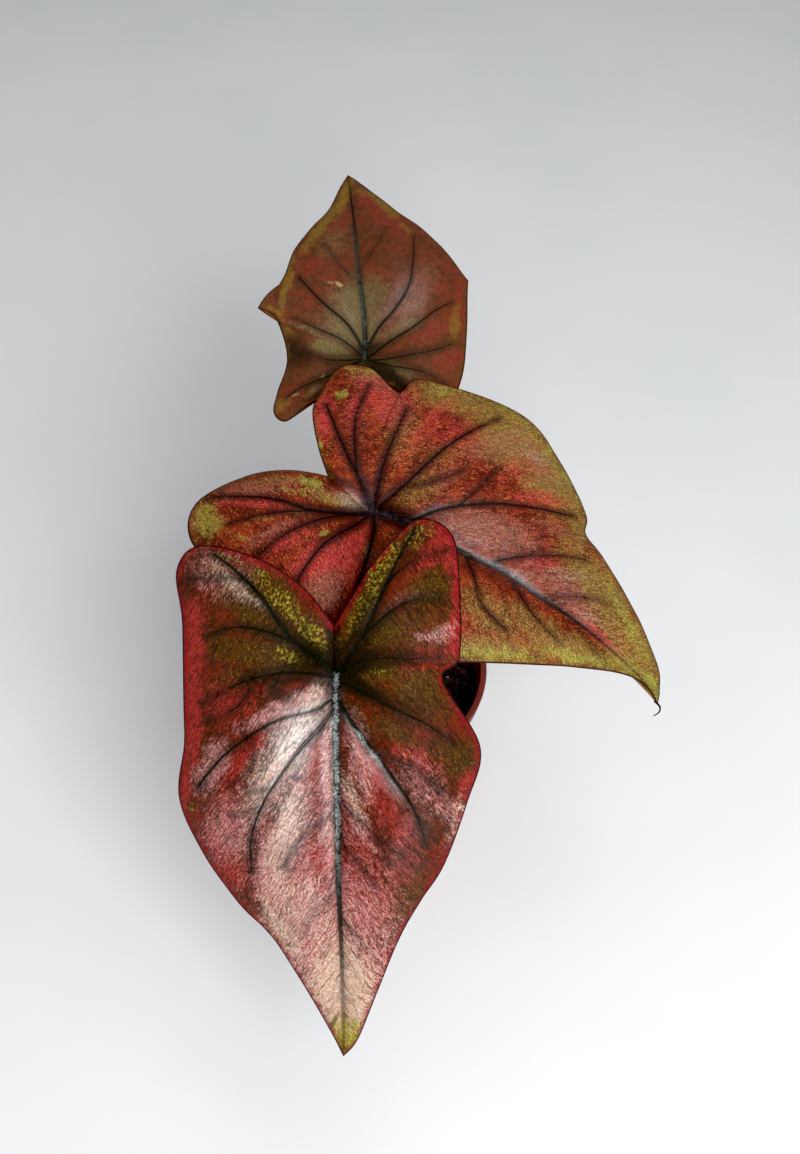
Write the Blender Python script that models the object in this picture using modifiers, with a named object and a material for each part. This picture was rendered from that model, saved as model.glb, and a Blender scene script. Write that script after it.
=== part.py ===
# Caladium in its nursery pot: construction model.
# Metres, +Z up. The pot's underside centre is the origin and the front leaf points to -Y.
# The tables of the leaves and the lists of sizes are in millimetres, and MM turns them into metres.

import bmesh
import bpy
import numpy as np
from math import cos, pi, radians, sin
from mathutils import Vector

MM = 0.001

# Clearance between pieces that touch
GAP = 0.3 * MM

# Pot: a thin moulded nursery pot, 100 mm across its mouth
POT_HEIGHT = 90 * MM
MOUTH_RADIUS = 50 * MM
BASE_RADIUS = 35 * MM
WALL = 1.4 * MM
RIM_DEPTH = 9 * MM
RIM_STEP = 1.6 * MM
EDGE = 0.6 * MM
FLOOR = 2.0 * MM
BASE_ROUNDING = 2.5 * MM
BASE_BEVEL = 0.3 * BASE_ROUNDING
POT_STEPS = 64
DRAIN_HOLES = 6
DRAIN_RADIUS = 3.5 * MM
DRAIN_CIRCLE = 23 * MM
DRAIN_SIDES = 20
CUTTER_DEPTH = 6 * FLOOR

# Soil with the roots grown through it, highest around the tuber
SOIL_DEPTH_BELOW_RIM = 12 * MM
SOIL_RISE = 2.5 * MM
SOIL_EDGE = 1.0 * MM
SOIL_MOUTH_RADIUS = 17 * MM
SOIL_KNEE = 0.62

# Tuber: its flat crown stands just out of the soil. The outline holds radius and depth below it.
CROWN_HEIGHT = 84 * MM
CROWN_RADIUS = 10 * MM
TUBER_OUTLINE = [(11, 1), (14, 4.5), (16, 11.8), (14.5, 17.8), (10, 23.5), (0, 25)]

# Leaf stalks
STALK_BASE_RADIUS = 3.3 * MM
STALK_TOP_RADIUS = 1.7 * MM
STALK_CIRCLE = 6.0 * MM
STALK_POINTS = 22
FINE_POINTS = 200
STALK_RISE = 0.36
STALK_ARRIVAL = 0.16
STALK_FOOT_CLEARANCE = 1.5 * GAP
STALK_TOP_CLEARANCE = 2 * GAP
STALK_TAPER = 1.6

# Papery sheaths around the feet of the stalks
SHEATH_THICKNESS = 0.5 * MM
SHEATH_FOOT_CLEARANCE = 1.5 * GAP
SHEATH_TIP_CLEARANCE = 3.5 * GAP
SHEATH_TIP_NARROWING = 0.92
SHEATH_POINTEDNESS = 2.2
SHEATH_SIDES = 12
SHEATH_ROWS = 9
SHEATH_HALF_ANGLE = radians(105)

# Leaf blades
BLADE_THICKNESS = 0.8 * MM
BLADE_COLUMNS = 2
BLADE_ROWS = 6
BLADE_ARCH = 0.05
RIB_BOW = 0.17
MARGIN_CURL = 4
DIMPLE_RADIUS = 14.0
LOBE_REACH = 60.0
LOBE_DROOP = 0.5
MERGE_DISTANCE = 0.02 * MM

# Each rib of a blade runs from its start on the midrib to the margin, on the left and on the
# right. A row holds the start, then along, across and lift of the left end and of the right end.
# Along counts from the stalk to the tip, across from the midrib, lift out of the upper face.
FRONT_RIBS = [
    (-19, -19, 0, 0, -19, 0, 0),
    (-16, -33, -11, 1, -38, 12, 2),
    (-9, -44, -28, 0, -50, 22, 1),
    (-4, -49, -50, -3, -58, 33, -3),
    (-2.5, -40, -59, -5, -51, 45, -5),
    (-1, -20, -57, -6, -28, 47, -3),
    (0.5, 11, -57, -6, -6, 46, 0),
    (2.5, 25, -57, -5, 2, 40, -2),
    (4, 46, -60, -7, 28, 54, -6),
    (8, 67, -52, -6, 50, 49, -7),
    (14, 87, -39, -4, 74, 40, -5),
    (30, 98, -29, -3, 88, 31, -4),
    (50, 108, -22, -2, 102, 23, -2),
    (85, 126, -12, 0, 124, 14, 0),
    (120, 142, -4.5, 0, 145, 6, 0),
    (153, 153, 0, 0, 153, 0, 0),
]
MIDDLE_RIBS = [
    (-22, -22, 4, 0, -22, 4, 0),
    (-16, -36, 0, -1, -31, 13, 1),
    (-9, -50, -9, -2, -41, 27, 1),
    (-4, -62, -27, -3, -43, 38, 0),
    (-2.5, -57, -42, -6, -42, 54, -1),
    (-1.5, -36, -52, -8, -31, 60, -2),
    (0, -8, -57, -10, -15, 55, -2),
    (1.5, 4, -57, -10, -9, 66, -2),
    (3, 15, -55, -9, 34, 77, -3),
    (6, 32, -49, -7, 58, 69, -4),
    (10, 48, -42, -5, 79, 54, -3),
    (28, 64, -33, -3, 83, 45, -2),
    (48, 84, -21, -2, 95, 40, -1),
    (69, 101, -11, -1, 117, 28, 0),
    (100, 122, 0, 0, 136, 15, 0),
    (124, 134, 3, 0, 142, 6, 0),
    (144, 144, 0, 0, 144, 0, 0),
]
BACK_RIBS = [
    (-12, -12, 0, 0, -12, 0, 0),
    (-10, -18, -10, 1, -18, 12, 1),
    (-6, -26, -19, 0, -24, 26, 0),
    (-3, -30, -30, -2, -29, 36, -3),
    (-2, -22, -37, -3, -24, 41, -4),
    (-1, -10, -42, -3, -14, 39, -4),
    (0, 6, -45, -3, 2, 34, -3),
    (1.5, 22, -47, -3, 20, 37, 1),
    (3, 37, -47, -3, 31, 42, 4),
    (5, 54, -43, -2, 48, 34, 1),
    (8, 72, -33, -1, 64, 28, 0),
    (30, 85, -22, 0, 77, 20, 0),
    (60, 100, -12, 0, 90, 11, 0),
    (90, 112, -4, 0, 108, 4, 0),
    (117, 117, 0, 0, 117, 0, 0),
]

# Where each blade is held, which way its midrib points, and how it bends.
# Heading is counted from +X, slope is the fall of the midrib at the stalk, in degrees.
LEAVES = {
    "front": {
        "ribs": FRONT_RIBS, "attach": (-14, -61, 180),
        "heading": -89, "slope": 39, "roll": 0,
        "droop": 22, "sweep": 0, "dimple": 5,
        "stalk_angle": -100, "sheath": 30,
    },
    "middle": {
        "ribs": MIDDLE_RIBS, "attach": (-1, 11, 190),
        "heading": -24, "slope": 18, "roll": 8,
        "droop": 26, "sweep": 6, "dimple": 5,
        "stalk_angle": 15, "sheath": 24,
    },
    "back": {
        "ribs": BACK_RIBS, "attach": (-5, 94, 195),
        "heading": 95, "slope": -11, "roll": 0,
        "droop": 16, "sweep": 0, "dimple": 4,
        "stalk_angle": 130, "sheath": 27,
    },
}


def clear_scene():
    for thing in list(bpy.data.objects):
        bpy.data.objects.remove(thing, do_unlink=True)


def new_collection(name):
    group = bpy.data.collections.new(name)
    bpy.context.scene.collection.children.link(group)
    return group


def new_material(name, colour, roughness, metallic=0.0):
    material = bpy.data.materials.new(name)
    material.use_nodes = True
    shader = material.node_tree.nodes["Principled BSDF"]
    shader.inputs["Base Color"].default_value = (*colour, 1.0)
    shader.inputs["Roughness"].default_value = roughness
    shader.inputs["Metallic"].default_value = metallic
    material.diffuse_color = (*colour, 1.0)
    return material


def add_object(name, data, material, group):
    thing = bpy.data.objects.new(name, data)
    data.materials.append(material)
    group.objects.link(thing)
    return thing


def turned(name, profile, material, group):
    """A closed body turned about Z from a profile given as (radius, height) points."""
    mesh = bpy.data.meshes.new(name)
    edges = [(i, i + 1) for i in range(len(profile) - 1)]
    mesh.from_pydata([(radius, 0.0, height) for radius, height in profile], edges, [])
    thing = add_object(name, mesh, material, group)
    screw = thing.modifiers.new("turn", "SCREW")
    screw.axis = "Z"
    screw.steps = POT_STEPS
    screw.render_steps = POT_STEPS
    screw.use_merge_vertices = True
    screw.merge_threshold = 0.00001
    return thing


# Pot

def wall_radius(height):
    """Outer radius of the pot's tapered wall at a height above its underside."""
    top_radius = MOUTH_RADIUS - RIM_STEP
    return BASE_RADIUS + (top_radius - BASE_RADIUS) * height / POT_HEIGHT


def build_pot(group, cutters):
    """A tapered shell with a thicker band at its rim and a ring of drain holes in its floor."""
    band_foot = POT_HEIGHT - RIM_DEPTH
    inner_rim = wall_radius(POT_HEIGHT) - WALL
    inner_foot = wall_radius(FLOOR) - WALL
    band_radius = wall_radius(band_foot) + RIM_STEP
    profile = [
        (0.0, FLOOR),
        (inner_foot - BASE_ROUNDING, FLOOR),
        (inner_foot, FLOOR + BASE_ROUNDING),
        (wall_radius(band_foot) - WALL, band_foot),
        (inner_rim, POT_HEIGHT - EDGE),
        (inner_rim + EDGE, POT_HEIGHT),
        (MOUTH_RADIUS - EDGE, POT_HEIGHT),
        (MOUTH_RADIUS, POT_HEIGHT - EDGE),
        (band_radius, band_foot + EDGE),
        (band_radius - EDGE, band_foot),
        (wall_radius(band_foot), band_foot),
        (wall_radius(BASE_ROUNDING), BASE_ROUNDING),
        (BASE_RADIUS - BASE_BEVEL, BASE_BEVEL),
        (BASE_RADIUS - BASE_ROUNDING, 0.0),
        (0.0, 0.0),
    ]
    plastic = new_material("pot_plastic", (0.16, 0.045, 0.035), 0.45)
    pot = turned("pot", profile, plastic, group)
    for index in range(DRAIN_HOLES):
        angle = 2 * pi * (index + 0.5) / DRAIN_HOLES
        place = (DRAIN_CIRCLE * cos(angle), DRAIN_CIRCLE * sin(angle), 0.0)
        bpy.ops.mesh.primitive_cylinder_add(
            vertices=DRAIN_SIDES, radius=DRAIN_RADIUS, depth=CUTTER_DEPTH, location=place)
        cutter = bpy.context.object
        cutter.name = f"drain_cutter_{index + 1}"
        for owner in list(cutter.users_collection):
            owner.objects.unlink(cutter)
        cutters.objects.link(cutter)
        cutter.hide_render = True
        cutter.display_type = "WIRE"
        cut = pot.modifiers.new(f"drain_{index + 1}", "BOOLEAN")
        cut.operation = "DIFFERENCE"
        cut.solver = "EXACT"
        cut.object = cutter
    return pot


# Tuber and soil

def tuber_profile(margin=0.0):
    """Outer side of the tuber from its crown's edge to its foot, grown by a margin."""
    deepest = TUBER_OUTLINE[-1][1] * MM
    deeper = 1 + margin / deepest
    side = []
    for radius, depth in TUBER_OUTLINE[:-1]:
        side.append((radius * MM + margin, CROWN_HEIGHT - depth * MM * deeper))
    side.append((0.0, CROWN_HEIGHT - deepest - margin))
    return side


def build_tuber(group):
    skin = new_material("tuber_skin", (0.18, 0.09, 0.045), 0.85)
    crown = [(0.0, CROWN_HEIGHT), (CROWN_RADIUS, CROWN_HEIGHT)]
    return turned("tuber", crown + tuber_profile(), skin, group)


def build_soil(group):
    """The root ball fills the pot, with a pit that the tuber sits in, open at its crown."""
    top = POT_HEIGHT - SOIL_DEPTH_BELOW_RIM
    edge = top - SOIL_EDGE
    foot = FLOOR + GAP
    corner = BASE_ROUNDING + SOIL_EDGE
    pit = list(reversed(tuber_profile(GAP)))[:-1]
    outer_top = wall_radius(edge) - WALL - GAP
    outer_foot = wall_radius(foot) - WALL - GAP
    profile = pit + [
        (SOIL_MOUTH_RADIUS, top + SOIL_RISE),
        (SOIL_KNEE * outer_top, top + 0.5 * SOIL_RISE),
        (outer_top - 2 * SOIL_EDGE, top),
        (outer_top, edge),
        (outer_foot, foot + corner),
        (outer_foot - corner, foot),
        (0.0, foot),
    ]
    mix = new_material("potting_mix", (0.035, 0.024, 0.018), 0.95)
    return turned("soil_root_ball", profile, mix, group)


# Leaf blades

def blade_axes(leaf):
    """Directions along the midrib, across to the right half, and out of the upper face."""
    heading = radians(leaf["heading"])
    slope = radians(leaf["slope"])
    roll = radians(leaf["roll"])
    along = np.array((cos(heading) * cos(slope), sin(heading) * cos(slope), -sin(slope)))
    level = np.array((-sin(heading), cos(heading), 0.0))
    across = level * cos(roll) + np.cross(along, level) * sin(roll)
    return along, across, np.cross(along, across)


def smooth_rows(rows, places):
    """Rows of a table read at fractional places, on a Catmull-Rom curve through them."""
    last = len(rows) - 1
    first = np.clip(np.floor(places).astype(int), 0, last - 1)
    part = (places - first)[:, None]
    before = rows[np.clip(first - 1, 0, last)]
    here = rows[first]
    after = rows[first + 1]
    beyond = rows[np.clip(first + 2, 0, last)]
    line = 2 * here + (after - before) * part
    bend = (2 * before - 5 * here + 4 * after - beyond) * part**2
    twist = (3 * here - before - 3 * after + beyond) * part**3
    return 0.5 * (line + bend + twist)


def half_blade(leaf, side, places, steps):
    """Points of one half of a blade: columns follow the ribs, steps run midrib to margin."""
    table = np.array(leaf["ribs"], float)
    picked = [0, 1, 2, 3] if side < 0 else [0, 4, 5, 6]
    ribs = smooth_rows(table[:, picked], places)
    length = table[-1, 0]
    sinus = table[0, 0]
    start = ribs[:, 0]
    share = np.clip(start / length, 0, 1)
    sideways = leaf["sweep"] * 4 * share * (1 - share) + table[0, 2] * np.clip(start / sinus, 0, 1)
    root = np.stack([start, sideways], -1)
    end = ribs[:, 1:3]
    chord = end - root
    reach = np.hypot(chord[:, 0], chord[:, 1])
    backward = np.minimum(chord[:, 0] / np.maximum(reach, 0.001), 0)
    bow = RIB_BOW * (1 - backward**2)
    baseward = side * np.stack([-chord[:, 1], chord[:, 0]], -1)
    bend = root + 0.5 * chord + baseward * bow[:, None]
    out = steps[None, :, None]
    flat = (1 - out)**2 * root[:, None] + 2 * out * (1 - out) * bend[:, None]
    flat = flat + out**2 * end[:, None]
    along = flat[..., 0]
    across = flat[..., 1]
    height = -leaf["droop"] * (np.maximum(along, 0) / length)**2
    height -= LOBE_DROOP * leaf["droop"] * (np.maximum(-along, 0) / LOBE_REACH)**2
    height += ribs[:, 3][:, None] * steps**MARGIN_CURL
    height += BLADE_ARCH * reach[:, None] * np.sin(pi * steps)
    height -= leaf["dimple"] * np.exp(-(along**2 + across**2) / DIMPLE_RADIUS**2)
    to_tip, to_right, outward = blade_axes(leaf)
    place = np.array(leaf["attach"], float) + along[..., None] * to_tip
    place = place + across[..., None] * to_right + height[..., None] * outward
    return place * MM


def build_blade(name, leaf, material, group):
    """Loft the two halves over their ribs, weld them on the midrib, and thicken them."""
    spans = len(leaf["ribs"]) - 1
    places = np.linspace(0, spans, spans * BLADE_COLUMNS + 1)
    steps = np.linspace(0, 1, BLADE_ROWS + 1)
    mesh = bpy.data.meshes.new(name)
    builder = bmesh.new()
    for side in (-1, 1):
        points = half_blade(leaf, side, places, steps)
        grid = [[builder.verts.new(point) for point in column] for column in points]
        for one, other in zip(grid[:-1], grid[1:]):
            for step in range(BLADE_ROWS):
                corners = [one[step], one[step + 1], other[step + 1], other[step]]
                if side > 0:
                    corners.reverse()
                builder.faces.new(corners)
    bmesh.ops.remove_doubles(builder, verts=builder.verts[:], dist=MERGE_DISTANCE)
    builder.to_mesh(mesh)
    builder.free()
    blade = add_object(name, mesh, material, group)
    thicken = blade.modifiers.new("thickness", "SOLIDIFY")
    thicken.thickness = BLADE_THICKNESS
    thicken.offset = -1.0
    return blade


# Stalks and sheaths

def stalk_path(leaf, count):
    """Centre line of a stalk, from its seat on the crown to the underside of its blade."""
    angle = radians(leaf["stalk_angle"])
    outward = Vector((cos(angle), sin(angle), 0.0))
    foot = outward * STALK_CIRCLE + Vector((0.0, 0.0, CROWN_HEIGHT + STALK_FOOT_CLEARANCE))
    normal = Vector(blade_axes(leaf)[2])
    seat = leaf["dimple"] * MM + BLADE_THICKNESS + STALK_TOP_CLEARANCE
    top = Vector(leaf["attach"]) * MM - normal * seat
    reach = (top - foot).length
    leave = foot + Vector((0.0, 0.0, 1.0)) * reach * STALK_RISE
    arrive = top - normal * reach * STALK_ARRIVAL
    path = []
    for index in range(count):
        share = index / (count - 1)
        rest = 1 - share
        path.append(rest**3 * foot + 3 * rest**2 * share * leave
                    + 3 * rest * share**2 * arrive + share**3 * top)
    return path


def stalk_radius(share):
    """Stalks taper quickly out of their feet, then slowly to the blade."""
    return STALK_TOP_RADIUS + (STALK_BASE_RADIUS - STALK_TOP_RADIUS) * (1 - share)**STALK_TAPER


def build_stalk(name, leaf, material, group):
    curve = bpy.data.curves.new(name, "CURVE")
    curve.dimensions = "3D"
    curve.bevel_depth = 1.0
    curve.bevel_resolution = 2
    curve.use_fill_caps = True
    spline = curve.splines.new("POLY")
    path = stalk_path(leaf, STALK_POINTS)
    spline.points.add(len(path) - 1)
    for index, (point, place) in enumerate(zip(spline.points, path)):
        point.co = (*place, 1.0)
        point.radius = stalk_radius(index / (STALK_POINTS - 1))
    return add_object(name, curve, material, group)


def build_sheath(name, leaf, material, group):
    """A pointed papery half tube on the outer side of a stalk's foot."""
    path = stalk_path(leaf, FINE_POINTS)
    angle = radians(leaf["stalk_angle"])
    mesh = bpy.data.meshes.new(name)
    builder = bmesh.new()
    rows = []
    for row in range(SHEATH_ROWS):
        share = row / (SHEATH_ROWS - 1)
        level = path[0].z + leaf["sheath"] * MM * share
        index = min(range(len(path)), key=lambda at: abs(path[at].z - level))
        clearance = SHEATH_FOOT_CLEARANCE + (SHEATH_TIP_CLEARANCE - SHEATH_FOOT_CLEARANCE) * share
        radius = stalk_radius(index / (FINE_POINTS - 1)) + clearance
        half_angle = SHEATH_HALF_ANGLE * (1 - SHEATH_TIP_NARROWING * share**SHEATH_POINTEDNESS)
        ring = []
        for column in range(SHEATH_SIDES + 1):
            turn = angle + half_angle * (2 * column / SHEATH_SIDES - 1)
            place = (path[index].x + radius * cos(turn), path[index].y + radius * sin(turn), level)
            ring.append(builder.verts.new(place))
        rows.append(ring)
    for lower, upper in zip(rows[:-1], rows[1:]):
        for column in range(SHEATH_SIDES):
            builder.faces.new((lower[column], lower[column + 1], upper[column + 1], upper[column]))
    builder.to_mesh(mesh)
    builder.free()
    sheath = add_object(name, mesh, material, group)
    thicken = sheath.modifiers.new("thickness", "SOLIDIFY")
    thicken.thickness = SHEATH_THICKNESS
    thicken.offset = 1.0
    return sheath


def main():
    clear_scene()
    parts = new_collection("caladium_in_pot")
    cutters = new_collection("cutters")
    build_pot(parts, cutters)
    build_tuber(parts)
    build_soil(parts)
    blade_colour = new_material("leaf_blade", (0.30, 0.065, 0.04), 0.35)
    stalk_colour = new_material("leaf_stalk", (0.10, 0.055, 0.04), 0.45)
    sheath_colour = new_material("papery_sheath", (0.42, 0.27, 0.15), 0.8)
    for side, leaf in LEAVES.items():
        build_blade(f"leaf_blade_{side}", leaf, blade_colour, parts)
        build_stalk(f"leaf_stalk_{side}", leaf, stalk_colour, parts)
        build_sheath(f"leaf_sheath_{side}", leaf, sheath_colour, parts)


main()
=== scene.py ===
# %% [markdown]
# # A caladium in its nursery pot
#
# This lesson dresses the construction model of a small potted caladium: three painted leaf
# blades on their stalks, a tuber, a bark mix and a thin pot. The construction model is loaded
# first and stays as the frame. Each piece is then made again with the detail of the real one,
# in the same place, and gets a finish made from nodes.
#
# Lengths in the tables are in millimetres, because a leaf is easier to read that way. MM turns
# them into metres where a mesh is made.

import bmesh
import bpy
import numpy as np
from math import cos, pi, radians, sin
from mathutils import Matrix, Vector, noise


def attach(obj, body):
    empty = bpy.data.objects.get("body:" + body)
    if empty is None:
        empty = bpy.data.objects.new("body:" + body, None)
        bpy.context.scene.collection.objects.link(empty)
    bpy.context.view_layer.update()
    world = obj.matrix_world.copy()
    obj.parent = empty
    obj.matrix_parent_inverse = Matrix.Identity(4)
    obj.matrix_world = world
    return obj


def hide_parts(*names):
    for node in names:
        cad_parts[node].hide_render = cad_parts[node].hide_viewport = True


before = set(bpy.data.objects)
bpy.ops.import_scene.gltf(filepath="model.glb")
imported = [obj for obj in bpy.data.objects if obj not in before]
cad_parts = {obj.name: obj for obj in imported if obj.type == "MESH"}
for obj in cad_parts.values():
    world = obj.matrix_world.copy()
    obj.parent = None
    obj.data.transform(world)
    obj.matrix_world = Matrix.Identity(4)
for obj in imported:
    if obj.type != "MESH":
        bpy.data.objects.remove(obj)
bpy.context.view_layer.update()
MM = 0.001
print("frame", sorted(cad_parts))

# %% [markdown]
# ## Camera
#
# The plant is seen from above and in front, so the blades are looked at almost square on and
# the pot hides under them. The lens is a little longer than normal. The camera is set up first,
# because everything after it is judged through it. The view is 800 wide by 1154 high, so the
# sensor is fitted to the height.

# %% Camera
def show(name, data):
    """A new object in the scene."""
    thing = bpy.data.objects.new(name, data)
    bpy.context.scene.collection.objects.link(thing)
    return thing


CAMERA_PLACE = (0.0101, -0.2967, 0.5648)
CAMERA_TILT = 36.18
camera_data = bpy.data.cameras.new("view")
camera_data.lens = 38
camera_data.sensor_fit = "VERTICAL"
camera_data.sensor_height = 36
camera_data.clip_start = 0.01
camera_data.clip_end = 20
camera = show("view", camera_data)
camera.location = CAMERA_PLACE
camera.rotation_euler = (radians(CAMERA_TILT), 0, 0)
bpy.context.scene.camera = camera
print("camera at", CAMERA_PLACE, "tilted", CAMERA_TILT, "degrees from straight down")

# %% [markdown]
# ## Node trees written as sums
#
# A finish is mostly arithmetic on masks, and long chains of nodes are hard to read as code.
# Signal wraps one socket and overloads the operators, so that `1 - mask * 0.5` adds its own Math
# nodes. Bench holds a tree, of a material or of Geometry Nodes, and its node method makes any
# other node from its type, its settings and the values or links of its sockets.

# %% Signals and benches
class Signal:
    """One output of a node, used in sums like a number."""

    def __init__(self, bench, socket):
        self.bench = bench
        self.socket = socket

    def maths(self, operation, *numbers):
        """A Math node of these numbers and signals."""
        sockets = dict(enumerate(numbers))
        return self.bench.node("ShaderNodeMath", {"operation": operation}, sockets)

    def __add__(self, other):
        return self.maths("ADD", self, other)

    def __sub__(self, other):
        return self.maths("SUBTRACT", self, other)

    def __rsub__(self, other):
        return self.maths("SUBTRACT", other, self)

    def __mul__(self, other):
        return self.maths("MULTIPLY", self, other)

    def __pow__(self, other):
        return self.maths("POWER", self, other)

    def __abs__(self):
        return self.maths("ABSOLUTE", self)

    __radd__ = __add__
    __rmul__ = __mul__

    def rise(self, low, high):
        """0 at low, 1 at high, with an S-shaped rise between. Low may be the larger."""
        return self.bench.node(
            "ShaderNodeMapRange", {"interpolation_type": "SMOOTHSTEP"},
            {"Value": self, "From Min": low, "From Max": high})


class Bench:
    """A node tree, with one method that makes any node."""

    def __init__(self, tree):
        self.tree = tree

    def node(self, kind, settings=None, sockets=None, output=0):
        made = self.tree.nodes.new(kind)
        for name, value in (settings or {}).items():
            setattr(made, name, value)
        for name, value in (sockets or {}).items():
            if isinstance(value, Signal):
                self.tree.links.new(value.socket, made.inputs[name])
            else:
                made.inputs[name].default_value = value
        return Signal(self, made.outputs[output]) if made.outputs else None

    def blend(self, colour, *layers):
        """A colour with others laid over it: pairs of a colour and its amount from 0 to 1."""
        for layer, amount in layers:
            colour = self.node(
                "ShaderNodeMix", {"data_type": "RGBA"}, {0: amount, 6: colour, 7: layer}, 2)
        return colour

    def attribute(self, name, output="Fac"):
        return self.node("ShaderNodeAttribute", {"attribute_name": name}, output=output)

    def grain(self, place, scale, detail=3.0, roughness=0.55, distortion=0.0):
        """Noise that spreads around a half."""
        return self.node("ShaderNodeTexNoise", None, {
            "Vector": place, "Scale": scale, "Detail": detail, "Roughness": roughness,
            "Distortion": distortion})

    def vector(self, operation, *sockets, output=0):
        return self.node("ShaderNodeVectorMath", {"operation": operation},
                         dict(enumerate(sockets)), output)

    def part(self, vector, axis):
        """One number of a vector: 0 is X, 1 is Y and 2 is Z."""
        return self.node("ShaderNodeSeparateXYZ", None, {0: vector}, axis)

    def join(self, x=0.0, y=0.0, z=0.0):
        return self.node("ShaderNodeCombineXYZ", None, {"X": x, "Y": y, "Z": z})

    def place(self):
        """Where a point lies on its own piece, in metres."""
        return self.node("ShaderNodeTexCoord", output="Object")


def tint(red, green, blue):
    """A display colour from 0 to 255, turned into the linear colour that shaders use."""
    linear = []
    for value in (red, green, blue):
        part = value / 255
        linear.append(part / 12.92 if part < 0.04045 else ((part + 0.055) / 1.055)**2.4)
    return (*linear, 1.0)


print("a bench is ready")

# %% [markdown]
# ## Finish helpers
#
# Every finish ends in one Principled shader. Numbers that are the same all over are set on its
# sockets, and only colour, roughness, coat weight and normal are linked, because those are what a
# texture bake can carry. Bumps are given as a height in millimetres, so a groove in the finish is
# as deep as it says.

# %% Finish helpers
def new_finish(name, constants):
    """A material's bench and Principled shader, with the constant values set."""
    finish = bpy.data.materials.new(name)
    finish.use_nodes = True
    finish.node_tree.nodes.clear()
    bench = Bench(finish.node_tree)
    shader = bench.node("ShaderNodeBsdfPrincipled", None, constants)
    bench.node("ShaderNodeOutputMaterial", None, {"Surface": shader})
    return finish, bench, shader.socket.node


def feed(bench, shader, signals, bump=None, strength=1.0):
    """Links varying signals to the shader, and bumps given in millimetres to its normal."""
    if bump:
        signals["Normal"] = bench.node("ShaderNodeBump", None, {
            "Height": bump, "Distance": MM, "Strength": strength})
    for name, signal in signals.items():
        bench.tree.links.new(signal.socket, shader.inputs[name])


print("finishes can be made")

# %% [markdown]
# ## The blades' plan
#
# A caladium blade is an arrowhead: a midrib, ribs that run from it to the margin, and two lobes
# behind the stalk. The construction model lofts each blade over such ribs, and the scene repeats
# its rule here, because it reads only the frame. A row of a table holds where a rib starts on the
# midrib, then along, across and lift of its left end and of its right end. Along counts from
# the stalk to the tip, across from the midrib, lift out of the upper face.

# %% Rib tables
FRONT_RIBS = [
    (-19, -19, 0, 0, -19, 0, 0),
    (-16, -33, -11, 1, -38, 12, 2),
    (-9, -44, -28, 0, -50, 22, 1),
    (-4, -49, -50, -3, -58, 33, -3),
    (-2.5, -40, -59, -5, -51, 45, -5),
    (-1, -20, -57, -6, -28, 47, -3),
    (0.5, 11, -57, -6, -6, 46, 0),
    (2.5, 25, -57, -5, 2, 40, -2),
    (4, 46, -60, -7, 28, 54, -6),
    (8, 67, -52, -6, 50, 49, -7),
    (14, 87, -39, -4, 74, 40, -5),
    (30, 98, -29, -3, 88, 31, -4),
    (50, 108, -22, -2, 102, 23, -2),
    (85, 126, -12, 0, 124, 14, 0),
    (120, 142, -4.5, 0, 145, 6, 0),
    (153, 153, 0, 0, 153, 0, 0),
]
MIDDLE_RIBS = [
    (-22, -22, 4, 0, -22, 4, 0),
    (-16, -36, 0, -1, -31, 13, 1),
    (-9, -50, -9, -2, -41, 27, 1),
    (-4, -62, -27, -3, -43, 38, 0),
    (-2.5, -57, -42, -6, -42, 54, -1),
    (-1.5, -36, -52, -8, -31, 60, -2),
    (0, -8, -57, -10, -15, 55, -2),
    (1.5, 4, -57, -10, -9, 66, -2),
    (3, 15, -55, -9, 34, 77, -3),
    (6, 32, -49, -7, 58, 69, -4),
    (10, 48, -42, -5, 79, 54, -3),
    (28, 64, -33, -3, 83, 45, -2),
    (48, 84, -21, -2, 95, 40, -1),
    (69, 101, -11, -1, 117, 28, 0),
    (100, 122, 0, 0, 136, 15, 0),
    (124, 134, 3, 0, 142, 6, 0),
    (144, 144, 0, 0, 144, 0, 0),
]
BACK_RIBS = [
    (-12, -12, 0, 0, -12, 0, 0),
    (-10, -18, -10, 1, -18, 12, 1),
    (-6, -26, -19, 0, -24, 26, 0),
    (-3, -30, -30, -2, -29, 36, -3),
    (-2, -22, -37, -3, -24, 41, -4),
    (-1, -10, -42, -3, -14, 39, -4),
    (0, 6, -45, -3, 2, 34, -3),
    (1.5, 22, -47, -3, 20, 37, 1),
    (3, 37, -47, -3, 31, 42, 4),
    (5, 54, -43, -2, 48, 34, 1),
    (8, 72, -33, -1, 64, 28, 0),
    (30, 85, -22, 0, 77, 20, 0),
    (60, 100, -12, 0, 90, 11, 0),
    (90, 112, -4, 0, 108, 4, 0),
    (117, 117, 0, 0, 117, 0, 0),
]
print("ribs", len(FRONT_RIBS), len(MIDDLE_RIBS), len(BACK_RIBS))

# %% [markdown]
# ## The blades' veins
#
# Under the paint, a blade is held open by its veins, which lie sunk in its upper face and stand
# out below. They are drawn here as smooth lines through a few points of the blade's plan, each
# with a width at its start and at its end. Lines were chosen over a texture, because the same
# lines then carve the mesh, raise the ribs below and carry the finish.

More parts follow.
